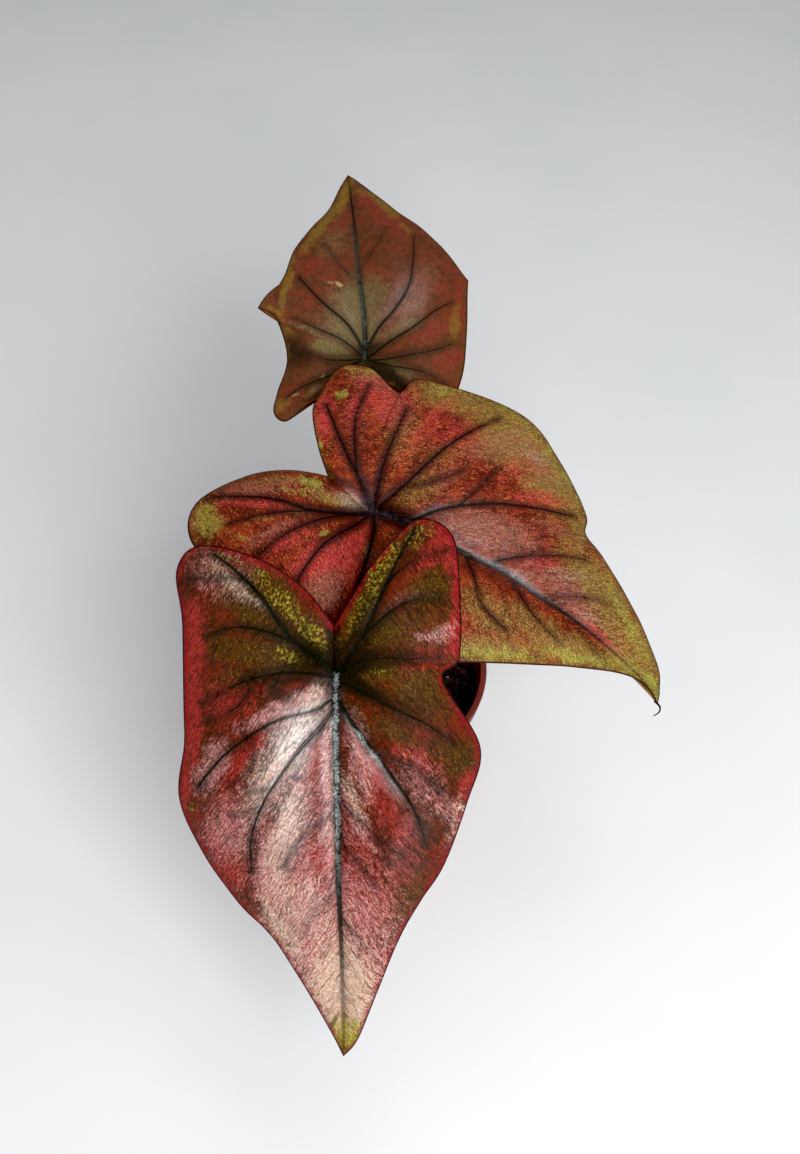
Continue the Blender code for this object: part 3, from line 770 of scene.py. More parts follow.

# %% [markdown]
# ## Relief, pigments and painted shade
#
# Every point of the plan is measured once, and the two sheets get their heights from that. Slow
# waves lift the whole blade, the skin swells between the veins and dips into a groove at each,
# and below it the vein stands out as a cord. A patch of paint, of pigment or of painted shade, is
# full in its middle and fades out past its ellipse, and where patches of one kind meet, the
# stronger one counts.

# %% Relief, pigments and painted shade
def blade_relief(leaf, flat, height):
    """Measures of each plan point, and the heights of the upper and the lower sheet there."""
    seed = leaf["seed"]
    outline = margin_line(leaf)
    edge, _, _ = to_segments(flat, outline[:-1], outline[1:])
    vein, ratio, run = vein_distances(leaf, flat)
    spine = smooth_line(leaf["veins"][0][2], VEIN_STEP)
    midrib, _, _ = to_segments(flat, spine[:-1], spine[1:])
    inside = smooth_rise(edge, 0, FULL_THICKNESS_FROM)
    calm = smooth_rise(np.hypot(flat[:, 0], flat[:, 1]), *WAVES_GROW)
    base = height + WAVE_HEIGHT * noise_at(flat, WAVE_LENGTH, seed) * (1.4 - 0.6 * inside) * calm
    base += RIPPLE_HEIGHT * noise_at(flat, RIPPLE_LENGTH, seed + 5) * calm
    size = np.clip(vein / np.maximum(ratio, 0.01), *VEIN_HALF_WIDTHS)
    dip = np.exp(-(vein / SWELL_REACH)**2) * np.clip(size / FULL_SWELL_VEIN, 0, 1)
    base += SWELL * (1 - dip) * inside
    upper = base - GROOVE_DEPTH * size**0.5 * np.exp(-(ratio / GROOVE_WIDTH)**2)
    thick = MARGIN_THICKNESS + (BLADE_THICKNESS - MARGIN_THICKNESS) * inside
    lower = base - thick - CORD_HEIGHT * size * np.exp(-(ratio / GROOVE_WIDTH)**2)
    measures = {"edge": edge, "vein": vein, "ratio": ratio, "run": run, "midrib": midrib}
    return measures, upper, lower


def pigment_and_painted_light_fields(leaf, flat):
    """How strongly each pigment, the painted shade and the wax gather at each plan point."""
    seeds = (leaf["seed"] + 31, leaf["seed"] + 47)
    shift = PAINT_SHIFT * np.stack(
        [noise_at(flat, PAINT_SHIFT_LENGTH, seed) for seed in seeds], -1)
    fields = {}
    for pigment in FIELDS:
        field = np.zeros(len(flat))
        for along, across, half_length, half_width, turn, strength in leaf["paint"][pigment]:
            offset = flat + shift - (along, across)
            turn = radians(turn)
            lengthwise = offset @ (cos(turn), sin(turn)) / half_length
            sideways = offset @ (-sin(turn), cos(turn)) / half_width
            reach = np.hypot(lengthwise, sideways)
            field = np.maximum(field, strength * smooth_rise(reach, *PAINT_FADE))
        fields[pigment] = field
    return fields


print("relief and pigments ready for", FIELDS)

# %% [markdown]
# ## The halves of a blade
#
# Each half is a grid of ribs by steps, made twice: once at the height of the upper sheet and once
# at that of the lower one. A line of rim points lies just outside the margin, halfway between the
# sheets, and two strips of quads join it to them. The halves meet on the midrib, where they are
# welded later. Every point also keeps its measures.

# %% Blade sheets
PLAN_UNIT = 100
WELD = 0.004 * MM


def grid_faces(first, columns, rows, flip):
    """Corner numbers of a grid's quads, columns by rows, starting at a vertex number."""
    column, row = np.meshgrid(np.arange(columns - 1), np.arange(rows - 1), indexing="ij")
    corner = first + (column * rows + row).ravel()
    faces = np.stack([corner, corner + 1, corner + rows + 1, corner + rows], -1)
    return faces[:, ::-1] if flip else faces


def join_rows(one, other, flip):
    """Quads between two lines of vertices."""
    faces = np.stack([one[:-1], other[:-1], other[1:], one[1:]], -1)
    return faces[:, ::-1] if flip else faces


def ring_faces(corner):
    """Quads between rings of vertices, from an array with a ring in each row."""
    beside = np.roll(corner, -1, 1)
    return np.stack([corner[:-1], corner[1:], beside[1:], beside[:-1]], -1).reshape(-1, 4)


def rim_line(leaf, places, flat, middle):
    """Points just outside the margin and halfway between the sheets, which round it off."""
    margin = flat[:, -1]
    away = margin - flat[:, -2]
    away /= np.maximum(np.hypot(away[:, 0], away[:, 1]), 1e-6)[:, None]
    away *= MARGIN_ROUNDING * MARGIN_THICKNESS * smooth_rise(places, 0, 1)[:, None]
    away *= smooth_rise(places[-1] - places, 0, 1)[:, None]
    return stand_up(leaf, *(margin + away).T, middle[:, -1])


def blade_half(leaf, side, first):
    """Points, measures and faces of one half, whose vertices start at a number."""
    places = close_places(leaf)
    steps = 1 - (1 - np.linspace(0, 1, BLADE_STEPS + 1))**STEP_CROWDING
    columns, rows = len(places), len(steps)
    shape = (columns, rows)
    along, across, height = half_plan(leaf, side, places, steps)
    flat = np.stack([along.ravel(), across.ravel()], -1)
    measures, upper, lower = blade_relief(leaf, flat, height.ravel())
    measures.update(pigment_and_painted_light_fields(leaf, flat))
    upper, lower = upper.reshape(shape), lower.reshape(shape)
    points = [stand_up(leaf, along, across, sheet).reshape(-1, 3) for sheet in (upper, lower)]
    points.append(rim_line(leaf, places, flat.reshape(*shape, 2), 0.5 * (upper + lower)))

    below = first + columns * rows
    edge = below + columns * rows + np.arange(columns)
    margin = np.arange(columns) * rows + rows - 1
    faces = [grid_faces(first, columns, rows, side > 0),
             grid_faces(below, columns, rows, side < 0),
             join_rows(first + margin, edge, side > 0),
             join_rows(edge, below + margin, side > 0)]
    measures = {"along": flat[:, 0], "across": flat[:, 1], **measures}
    values = {name: np.concatenate([sheet, sheet, sheet[margin]])
              for name, sheet in measures.items()}
    values["upper"] = np.repeat((1.0, 0.0, 0.5), (columns * rows, columns * rows, columns))
    return np.concatenate(points), values, np.concatenate(faces)


print("sheets can be made, and points are welded within", WELD, "metres")

# %% [markdown]
# ## The withered tip
#
# The middle blade's tip has dried into a short hook. It is a thin tube that narrows along its
# line: a ring of points is set across the line at each place, and the ends are closed.

# %% Tip hook
HOOK_PLACES = 16
HOOK_SIDES = 8
HOOK_RADII = (0.55, 0.2)


def unit(rows):
    return rows / np.linalg.norm(rows, axis=1)[:, None]


def tip_hook(leaf, first):
    """Points, measures and faces of the hook, whose vertices start at a number."""
    line = np.array(leaf["hook"], float)
    path = smooth_rows(line, np.linspace(0, len(line) - 1, HOOK_PLACES))
    ahead = unit(np.gradient(path, axis=0))
    side = unit(np.cross(ahead, (0.0, 0.0, 1.0)))
    over = np.cross(side, ahead)
    turn = (2 * pi * np.arange(HOOK_SIDES) / HOOK_SIDES)[None, :, None]
    ring = np.cos(turn) * side[:, None] + np.sin(turn) * over[:, None]
    radius = np.linspace(*HOOK_RADII, HOOK_PLACES)[:, None, None]
    flat = (path[:, None] + radius * ring).reshape(-1, 3)

    corner = first + np.arange(len(flat)).reshape(HOOK_PLACES, HOOK_SIDES)
    faces = ring_faces(corner).tolist() + [corner[0].tolist(), corner[-1, ::-1].tolist()]
    values = {"along": flat[:, 0], "across": flat[:, 1], "upper": np.ones(len(flat))}
    return stand_up(leaf, *flat.T), values, faces


print("hooks can be made, with", HOOK_SIDES, "sides")

# %% [markdown]
# ## Putting a blade together
#
# The parts become one mesh, welded where they touch, and checked: a closed mesh has no open edge
# and a volume above nothing. The plan is kept once more as a UV map, because noise is laid on the
# blade by it.

# %% Blade builder
def store(mesh, values):
    """Keeps named numbers on the points of a mesh, for its finish to read."""
    for name, numbers in values.items():
        layer = mesh.attributes.new(name, "FLOAT", "POINT")
        layer.data.foreach_set("value", np.asarray(numbers, np.float32))


def build_blade(name, leaf):
    """One blade as a mesh, with its measures and pigments on its points."""
    points, values, faces = blade_half(leaf, -1, 0)
    more_points, more_values, more_faces = blade_half(leaf, 1, len(points))
    points = np.concatenate([points, more_points])
    values = {key: np.concatenate([values[key], more_values[key]]) for key in values}
    faces = np.concatenate([faces, more_faces]).tolist()
    if "hook" in leaf:
        more_points, more_values, more_faces = tip_hook(leaf, len(points))
        points = np.concatenate([points, more_points])
        nothing = np.zeros(len(more_points))
        values = {key: np.concatenate([values[key], more_values.get(key, nothing)])
                  for key in values}
        faces += more_faces
    mesh = new_mesh(name, points.tolist(), faces)
    store(mesh, values)
    return mesh


def close_mesh(mesh, weld=WELD, outwards=False):
    """Welds points that coincide, smooths the shading, and measures what is left."""
    builder = bmesh.new()
    builder.from_mesh(mesh)
    if weld:
        bmesh.ops.remove_doubles(builder, verts=builder.verts[:], dist=weld)
    if outwards:
        bmesh.ops.recalc_face_normals(builder, faces=builder.faces[:])
    if weld:
        bmesh.ops.dissolve_degenerate(builder, edges=builder.edges[:], dist=weld)
    for face in builder.faces:
        face.smooth = True
    open_edges = sum(1 for edge in builder.edges if not edge.is_manifold)
    volume = builder.calc_volume(signed=True)
    builder.to_mesh(mesh)
    builder.free()
    print(mesh.name, "open edges", open_edges, "volume in cubic cm", round(volume * 1e6, 2))
    return mesh


def plan_map(mesh):
    """A UV map that holds the plan, for patterns that follow the blade."""
    flat = np.empty((2, len(mesh.vertices)), np.float32)
    for row, name in enumerate(("along", "across")):
        mesh.attributes[name].data.foreach_get("value", flat[row])
    corners = np.empty(len(mesh.loops), np.int32)
    mesh.loops.foreach_get("vertex_index", corners)
    mesh.uv_layers.new(name="plan").data.foreach_set("uv", (flat.T[corners] / PLAN_UNIT).ravel())


blade_meshes = {}
for side, leaf in LEAVES.items():
    blade_meshes[side] = close_mesh(build_blade(f"blade_{side}", leaf))
    plan_map(blade_meshes[side])

# %% [markdown]
# ## Pieces
#
# A mesh becomes a piece of the plant when it has its finish. Nothing on the plant moves, so every
# piece rides on the one body. It also names the solid of the construction model that it takes the
# place of, which is hidden.

# %% Pieces
def add_piece(name, mesh, finish, replaced):
    """Puts a mesh in the scene as a piece of the plant."""
    piece = show(name, mesh)
    mesh.materials.clear()
    mesh.materials.append(finish)
    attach(piece, "root")
    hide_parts(replaced)
    mesh.calc_loop_triangles()
    print(name, len(mesh.loop_triangles), "triangles")


print("pieces can be added")

# %% [markdown]
# ## Leaf colours
#
# The blades grow the same skin, so one finish serves all three, and two tables hold how they
# differ. A row has the value of the front, the middle and the back blade. The front one is the
# glossiest, the middle one the most speckled, and the back one browner and smoother.

# %% Leaf colours and settings
PALETTE = {
    # The bronze ground, and its pale flecks.
    "ground": ((102, 42, 14), (136, 40, 20), (108, 62, 36)),
    "ground_dark": ((66, 30, 8), (70, 20, 8), (84, 46, 24)),
    "ground_warm": ((122, 34, 16), (162, 62, 34), (122, 54, 32)),
    "fleck": ((150, 84, 40), (192, 146, 70), (112, 66, 36)),
    # The pigments and the painted shade, each from dark to light. The light tints of rose and
    # cream are partly a painted highlight where they lie on the wax.
    "olive": ((54, 36, 7), (134, 98, 42), (100, 86, 50)),
    "olive_light": ((100, 70, 18), (176, 158, 84), (128, 114, 76)),
    "crimson": ((148, 28, 26), (174, 32, 34), (118, 42, 28)),
    "crimson_light": ((186, 66, 58), (218, 92, 82), (140, 62, 46)),
    "rose": ((194, 104, 98), (142, 74, 58), (124, 76, 52)),
    "rose_light": ((234, 188, 182), (178, 124, 100), (142, 98, 72)),
    "cream": ((204, 158, 128), (160, 134, 104), (186, 160, 108)),
    "cream_light": ((240, 218, 200), (186, 168, 140), (200, 178, 130)),
    "lime": ((142, 134, 24), (138, 128, 44), (120, 88, 30)),
    "lime_light": ((196, 186, 66), (178, 180, 86), (142, 110, 44)),
    # Painted shade, for the creases where the lobes meet and round the stalk.
    "shade": ((18, 14, 6), (22, 8, 6), (16, 16, 8)),
    "shade_light": ((38, 26, 8), (44, 18, 12), (30, 28, 12)),
    # The band inside the margin, the margin line, and the veins. The halo is deepened into painted
    # shade near the stalk, and silver is the veins' pale colour with a painted highlight on it.
    "band": ((142, 16, 26), (110, 80, 22), (104, 62, 18)),
    "line": ((44, 6, 10), (50, 10, 12), (44, 14, 10)),
    "halo": ((26, 20, 8), (50, 14, 8), (46, 32, 16)),
    "vein": ((18, 20, 12), (20, 8, 8), (20, 20, 12)),
    "silver": ((166, 176, 172), (128, 124, 130), (84, 92, 78)),
    # The lower face.
    "under": ((168, 112, 92), (168, 112, 90), (156, 106, 86)),
    "under_dark": ((138, 84, 68), (136, 84, 66), (126, 80, 62)),
    "under_vein": ((120, 98, 66), (118, 78, 62), (106, 82, 58)),
}
LOOKS = {
    # How glossy the skin is, where waxed and elsewhere, and how deep its bumps are.
    "coat_roughness": (0.34, 0.32, 0.32), "coat_ior": (1.9, 1.8, 1.8), "wax": (1.35, 1.0, 0.8),
    "wax_least": (0.03, 0.06, 0.06), "roughness": (0.45, 0.5, 0.48), "relief": (1.0, 0.9, 0.7),
    "wrinkle": (0.7, 0.2, 0.12), "nap": (0.75, 0.25, 0.12),
    # How far the noises eat into the borders of the patches.
    "stipple": (1.2, 2.6, 0.9), "fibre": (1.1, 0.5, 0.5), "stroke": (1.0, 0.4, 0.5),
    "ragged": (3.2, 2.4, 1.4), "broken_low": (0.48, 0.32, 0.2), "broken_high": (0.56, 0.46, 0.4),
    # How strongly the small marks cover. Near is how much the halo deepens into painted shade
    # round the stalk, where the coat is also thinner, and silver how strongly the veins' pale
    # colour and painted highlight cover.
    "flecks": (0.5, 1.0, 0.25), "olive_flecks": (0.6, 0.3, 0.15), "pepper": (0.15, 0.65, 0.3),
    "net": (0.35, 0.3, 0.1), "hairs": (0.65, 0.6, 0.15), "threads": (0.6, 0.25, 0.1),
    "halo": (0.7, 0.95, 0.6), "near": (1.0, 0.35, 0.7), "silver": (0.9, 0.15, 0.45),
    "band": (3.0, 3.0, 2.5), "band_cover": (0.8, 0.4, 0.6),
    # How strongly each pigment, and the painted shade, covers.
    "olive": (0.8, 0.85, 0.9), "crimson": (0.9, 0.85, 0.75), "rose": (0.75, 0.7, 0.6),
    "cream": (0.9, 0.8, 0.8), "lime": (0.85, 0.8, 0.9), "shade": (0.97, 0.97, 0.97),
}
print("leaf colours", len(PALETTE), "and settings", len(LOOKS))

# %% [markdown]
# ## What the finish is made from
#
# The finish reads the measures that the mesh carries, and adds noise of a few sizes, all laid on
# the blade's plan in millimetres. Some noise has a direction: fibre runs outwards from the midrib
# as the fine strokes of the real skin do, and stroke runs out from the nearest vein. Threads are
# the thin wandering lines of that skin, where a slow noise passes a middle value. Near is high
# round the stalk, where the veins run together: there their dark halo is deepened into painted
# shade over the dimple, and the skin is duller.

# %% Leaf signals
GRAINS = {  # features a millimetre, octaves, roughness
    "broad": (0.07, 3, 0.55), "cloud": (0.28, 4, 0.6), "patch": (0.75, 3, 0.65),
    "speck": (1.3, 4, 0.75), "pepper": (2.4, 2, 0.6),
}
# Millimetres to the margin and to the nearest vein, half widths to a vein, millimetres along it,
# millimetres to the midrib, and 1 on the upper face.
MEASURES = ["edge", "vein", "ratio", "run", "midrib", "upper"]
FIBRE_TURN = radians(32)
FIBRE_STRETCH = 0.34
HALVES_APART = 9


class Skin:
    """Every measure and noise that a leaf's finish is made from."""

    def __init__(self, bench, look):
        for name in MEASURES + FIELDS:
            setattr(self, name, bench.attribute(name))
        plan = bench.node("ShaderNodeUVMap", {"uv_map": "plan"})
        self.flat = bench.vector("MULTIPLY", plan, (PLAN_UNIT, PLAN_UNIT, PLAN_UNIT))
        self.along, self.across = bench.part(self.flat, 0), bench.part(self.flat, 1)
        for name, row in GRAINS.items():
            setattr(self, name, bench.grain(self.flat, *row))
        aside = abs(self.across)
        outward = bench.join(
            (self.along * cos(FIBRE_TURN) + aside * sin(FIBRE_TURN)) * FIBRE_STRETCH,
            aside * cos(FIBRE_TURN) - self.along * sin(FIBRE_TURN),
            self.across.rise(-0.4, 0.4) * HALVES_APART)
        self.fibre = bench.grain(outward, 1.4, 4, 0.65, 0.5)
        drift = bench.grain(bench.vector("MULTIPLY", outward, (0.4, 1, 1)), 0.16, 3, 0.55, 0.8)
        lines = drift.maths("PINGPONG", drift * 9, 0.5).rise(0.15, 0.03)
        self.threads = lines * self.cloud.rise(0.3, 0.55)
        self.stroke = bench.grain(bench.join(
            self.run * 1.7, self.vein * 0.3, self.broad * 3 + self.cloud * 7), 1.0, 3, 0.6, 1.0)
        self.near_vein = self.vein.rise(12.0, 2.0)
        # Near is high round the stalk, where the veins' halo is deepened into painted shade.
        near = bench.vector("LENGTH", self.flat, output="Value").rise(42, 5)
        self.near = near * self.along.rise(14, -4) * look["near"]


print("noises", list(GRAINS))

# %% [markdown]
# ## Leaf colour
#
# The colour is built in layers, like the real one, with painted light among them. A bronze ground
# is stippled over by each pigment and by the painted shade, where its field and a fine grain
# together pass a half. Lime is broken into flecks, except at the tip. Small marks follow: lime
# flecks in the olive, a band inside the margin, dark pepper, a net of fine veins, and hairs and
# threads. The veins lie on top with a dark halo, which near the stalk is deepened into painted
# shade. The midrib is silver over its first half, partly its pale colour and partly a painted
# highlight, and the side veins of the right half carry a painted highlight where they are waxed.
# The lower face is duller and paler.

# %% Leaf colour
CLOUD_STIPPLE = 0.9
VEIN_COVER = 0.95
LIME_TIP = (124, 138)
NET_SIZE = 0.34


def leaf_veins(skin):
    """Where the veins are dark, and where they are silver, partly as a painted highlight."""
    dark = (skin.ratio + (skin.speck - 0.5) * 0.7).rise(1.4, 0.75)
    dark = dark * (skin.along.rise(140, 80) * 0.65 + 0.35)
    # The midrib's silver: its pale colour, and a painted highlight along it.
    spine = (skin.midrib + (skin.speck - 0.5) * 8.0 + (skin.cloud - 0.5) * 5.0).rise(1.1, -0.2)
    spine = spine * dark * skin.along.rise(95, 45)
    # A painted highlight along the side veins of the right half, where they are waxed.
    aside = dark * skin.wax.rise(0.3, 0.6) * skin.across.rise(2, 6)
    return dark, spine + aside * (1 - spine) * skin.speck.rise(0.4, 0.55)


def leaf_colour(bench, skin, palette, look):
    """Colour of both faces, with painted shade and highlight, and the veins' net, dark and silver
    masks.
    """
    speck, cloud, fibre = skin.speck, skin.cloud, skin.fibre
    stipple = ((speck - 0.5) * look["stipple"] + (cloud - 0.5) * CLOUD_STIPPLE
               + (fibre - 0.5) * look["fibre"]
               + (skin.stroke - 0.5) * skin.near_vein * look["stroke"])
    ground = (cloud - 0.5) * 1.2 + (fibre - 0.5) * 0.8 + 0.5
    colour = bench.blend(
        palette["ground_dark"], (palette["ground"], ground.rise(0.25, 0.75)),
        (palette["ground_warm"], (skin.broad + stipple * 0.4).rise(0.42, 0.66) * 0.8),
        (palette["fleck"], (speck + fibre).rise(1.08, 1.28) * look["flecks"]))
    pale = (speck * 0.5 + fibre * 0.5).rise(0.4, 0.64)
    # Each pigment, and the painted shade, is laid in turn; rose and cream carry part of the
    # painted highlight.
    for pigment in PIGMENTS_AND_PAINTED_LIGHT:
        field = getattr(skin, pigment)
        ragged = (speck + cloud - 1.0) * look["ragged"] if pigment == "lime" else stipple
        mask = (field * 1.15 + ragged * field.rise(0.02, 0.25)).rise(0.12, 1.02)
        if pigment == "lime":
            broken = skin.patch.rise(look["broken_low"], look["broken_high"])
            mask = mask * (broken + skin.along.rise(*LIME_TIP))
        paint = bench.blend(palette[pigment], (palette[pigment + "_light"], pale))
        colour = bench.blend(colour, (paint, mask * look[pigment]))

    flecks = (skin.patch * 0.7 + speck * 0.3).rise(0.55, 0.61) * skin.olive
    band = (skin.edge + (cloud - 0.5) * 8.0 + (fibre - 0.5) * 4.0).rise(look["band"], 0.0)
    wobble = bench.node("ShaderNodeTexNoise", None, {
        "Vector": skin.flat, "Scale": 0.35, "Detail": 2.0}, 1)
    net = bench.node("ShaderNodeTexVoronoi", {"feature": "DISTANCE_TO_EDGE"}, {
        "Vector": bench.vector("ADD", skin.flat, wobble), "Scale": NET_SIZE, "Randomness": 1.0})
    net = net.rise(0.07, 0.0)
    hairs = skin.stroke.rise(0.45, 0.35) * skin.vein.rise(9.0, 1.0) * skin.along.rise(118, 85)
    # A dark halo beside each vein, which near the stalk is widened and darkened into painted
    # shade.
    halo = (skin.vein - skin.near * 3.2).rise(3.2, 0.2)
    halo = halo * (cloud * (1 - skin.near) + skin.near * 0.9 + 0.3)
    halo = halo * (skin.along.rise(130, 60) * 0.7 + 0.3)
    dark, silver = leaf_veins(skin)
    line = skin.edge.rise(0.7, 0.25)
    colour = bench.blend(
        colour, (palette["lime"], flecks * look["olive_flecks"]),
        (palette["band"], band * look["band_cover"]),
        (palette["ground_dark"], skin.pepper.rise(0.5, 0.62) * look["pepper"]),
        (palette["vein"], net * cloud.rise(0.4, 0.6) * look["net"]),
        (palette["vein"], hairs * look["hairs"]),
        (palette["vein"], skin.threads * look["threads"]),
        (palette["halo"], halo * look["halo"]), (palette["vein"], dark * VEIN_COVER),
        (palette["silver"], silver * look["silver"]), (palette["line"], line))
    under = bench.blend(
        palette["under"], (palette["under_dark"], cloud.rise(0.3, 0.75)),
        (palette["under_vein"], skin.ratio.rise(1.5, 0.8)), (palette["line"], line * 0.8))
    return bench.blend(under, (colour, skin.upper.rise(0.3, 0.6))), net, dark, silver


print("layers", ["ground", *PIGMENTS_AND_PAINTED_LIGHT, "marks", "veins", "margin"])

# %% [markdown]
# ## Leaf gloss
#
# The upper face is waxed, and the wax is a coat over the colour: it is thickest where the wax
# field says, and streaked by the fibres, so the broad sheen breaks up. It is thin over dark veins,
# where the shade of the lobes is painted, and near the stalk. Wrinkles, fibres and threads are
# bumps in it.

# %% Leaf finish
LEAF_GLOSS = 0.12
WAX_SMOOTHNESS = 0.05


def leaf_finish(name, palette, look):
    finish, bench, shader = new_finish(name, {
        "Specular IOR Level": LEAF_GLOSS, "Coat Roughness": look["coat_roughness"],
        "Coat IOR": look["coat_ior"]})
    skin = Skin(bench, look)
    colour, net, dark, silver = leaf_colour(bench, skin, palette, look)
    face = skin.upper.rise(0.3, 0.6)
    height = (skin.stroke * skin.near_vein * look["wrinkle"] - net * 0.15 + skin.speck * 0.2
              + skin.cloud * 0.25 + skin.pepper * 0.1 - skin.threads * 0.12
              + skin.fibre * look["nap"])
    streaks = skin.fibre.rise(0.3, 0.66) * 0.45 + skin.cloud * 0.4 + 0.2
    streaks = streaks * (1 - skin.threads * 0.5) * (1 - (dark - silver) * 0.6)
    streaks = streaks * (1 - skin.shade * 0.8) * (1 - skin.near * 0.7)
    feed(bench, shader, {
        "Base Color": colour,
        "Roughness": (look["roughness"] - skin.wax * WAX_SMOOTHNESS + (skin.speck - 0.5) * 0.15
                      + (1 - face) * 0.25),
        "Coat Weight": face * (skin.wax * look["wax"] + look["wax_least"]) * streaks,
    }, height, look["relief"])
    return finish


for number, side in enumerate(LEAVES):
    palette = {name: tint(*row[number]) for name, row in PALETTE.items()}
    look = {name: row[number] for name, row in LOOKS.items()}
    finish = leaf_finish(f"leaf_paint_{side}", palette, look)
    add_piece(f"blade_{side}", blade_meshes[side], finish, f"leaf_blade_{side}")

# %% [markdown]
# ## Geometry Nodes helpers
#
# Stalks, the pot and the scattered bark follow a rule, so they are grown by Geometry Nodes. A
# group gets named inputs, which the modifier sets by each socket's identifier. The result is
# copied to a plain mesh, and the modifier goes with its holder.

# %% Node group helpers
def new_group(name, inputs):
    """A Geometry Nodes tree with a bench and a signal for each named input."""
    tree = bpy.data.node_groups.new(name, "GeometryNodeTree")
    tree.interface.new_socket("Geometry", in_out="OUTPUT", socket_type="NodeSocketGeometry")
    tree.interface.new_socket("Geometry", in_out="INPUT", socket_type="NodeSocketGeometry")
    for label, kind in inputs.items():
        tree.interface.new_socket(label, in_out="INPUT", socket_type="NodeSocket" + kind)
    bench = Bench(tree)
    entry = tree.nodes.new("NodeGroupInput")
    return bench, {socket.name: Signal(bench, socket) for socket in entry.outputs if socket.name}


def end_group(bench, geometry, finish):
    """Closes a group: instances become real faces, and the finish is set."""
    real = bench.node("GeometryNodeRealizeInstances", None, {"Geometry": geometry})
    smooth = bench.node("GeometryNodeSetShadeSmooth", None, {"Geometry": real})
    painted = bench.node("GeometryNodeSetMaterial", None, {"Geometry": smooth, "Material": finish})
    bench.node("NodeGroupOutput", None, {"Geometry": painted})


def grow(name, start, bench, values):
    """Runs a group on a mesh with values for its named inputs, and returns a plain mesh."""
    holder = show(name, start)
    modifier = holder.modifiers.new(name, "NODES")
    modifier.node_group = bench.tree
    for socket in bench.tree.interface.items_tree:
        if socket.name in values:
            modifier[socket.identifier] = values[socket.name]
    graph = bpy.context.evaluated_depsgraph_get()
    grown = bpy.data.meshes.new_from_object(
        holder.evaluated_get(graph), preserve_all_data_layers=True, depsgraph=graph)
    grown.name = name
    bpy.data.objects.remove(holder)
    return grown


def line_mesh(name, places):
    """A mesh of edges through places, for a group to follow."""
    edges = [(k, k + 1) for k in range(len(places) - 1)]
    return new_mesh(name, [tuple(place) for place in places], [], edges)


print("groups can be grown")

# %% [markdown]
# ## Stalks
#
# Each leaf stands on one long fleshy stalk, which leaves the crown upright and bends over to meet
# its blade from below. It is thick at its foot and flares a little where it enters the blade. The
# construction model's path is repeated, and a ring is swept along it. The ring keeps its own
# coordinates as attributes, so streaks can run the length of the stalk without a seam.

# %% Stalk group
STALK_CIRCLE = 6
CROWN_HEIGHT = 84
STALK_FOOT_CLEARANCE = 0.45
STALK_RISE = 0.36
STALK_ARRIVAL = 0.16
STALK_BASE_RADIUS = 3.3
STALK_TOP_RADIUS = 1.7
STALK_TAPER = 1.6
STALK_SEAT = 0.9
STALK_PLACES = 120
STALK_SIDES = 28
STALK_FLUTES = 7
FLARE_FROM = 0.955


def stalk_path(leaf, count):
    """Centre line of a stalk in metres, from the crown to the underside of its blade."""
    angle = radians(leaf["stalk_angle"])
    foot = np.array((STALK_CIRCLE * cos(angle), STALK_CIRCLE * sin(angle),
                     CROWN_HEIGHT + STALK_FOOT_CLEARANCE))
    normal = blade_axes(leaf)[2]
    top = np.array(leaf["attach"], float) - normal * (leaf["dimple"] + STALK_SEAT)
    reach = np.linalg.norm(top - foot)
    leave = foot + np.array((0, 0, reach * STALK_RISE))
    arrive = top - normal * reach * STALK_ARRIVAL
    share = np.linspace(0, 1, count)[:, None]
    rest = 1 - share
    path = rest**3 * foot + 3 * rest**2 * share * leave
    return (path + 3 * rest * share**2 * arrive + share**3 * top) * MM


def stalk_radius(share):
    return STALK_TOP_RADIUS + (STALK_BASE_RADIUS - STALK_TOP_RADIUS) * (1 - share)**STALK_TAPER


stalk_bench, given = new_group("stalk", {
    "Foot radius": "Float", "Top radius": "Float", "Taper": "Float", "Flare": "Float",
    "Flute": "Float", "Finish": "Material"})
line = stalk_bench.node("GeometryNodeMeshToCurve", None, {"Mesh": given["Geometry"]})
share = stalk_bench.node("GeometryNodeSplineParameter")
line = stalk_bench.node("GeometryNodeStoreNamedAttribute", {"data_type": "FLOAT"}, {
    "Geometry": line, "Name": "share", "Value": share})
swell = (given["Foot radius"] - given["Top radius"]) * (1 - share)**given["Taper"]
flare = share.rise(FLARE_FROM, 1.0) * given["Flare"] + 1

ring = stalk_bench.node("GeometryNodeCurvePrimitiveCircle", None, {
    "Resolution": STALK_SIDES, "Radius": 1.0})
turn = stalk_bench.node("GeometryNodeSplineParameter")
flutes = turn.maths("SINE", turn * (2 * pi * STALK_FLUTES)) * given["Flute"] + 1
fluted = stalk_bench.node("ShaderNodeVectorMath", {"operation": "SCALE"}, {
    0: stalk_bench.node("GeometryNodeInputPosition"), "Scale": flutes})
ring = stalk_bench.node("GeometryNodeSetPosition", None, {"Geometry": ring, "Position": fluted})
ring = stalk_bench.node("GeometryNodeStoreNamedAttribute", {"data_type": "FLOAT_VECTOR"}, {
    "Geometry": ring, "Name": "around", "Value": stalk_bench.node("GeometryNodeInputPosition")})
tube = stalk_bench.node("GeometryNodeCurveToMesh", None, {
    "Curve": line, "Profile Curve": ring, "Fill Caps": True,
    "Scale": (swell + given["Top radius"]) * flare})
end_group(stalk_bench, tube, given["Finish"])
print("stalk group has", len(stalk_bench.tree.nodes), "nodes")

# %% [markdown]
# ## Stalk finish
#
# The stalks of this plant are dark purple-brown at the foot and greener towards the blade, with
# fine pale and dark dashes along them. Noise that is stretched along the stalk gives the dashes,
# and another noise lets the ground wander.

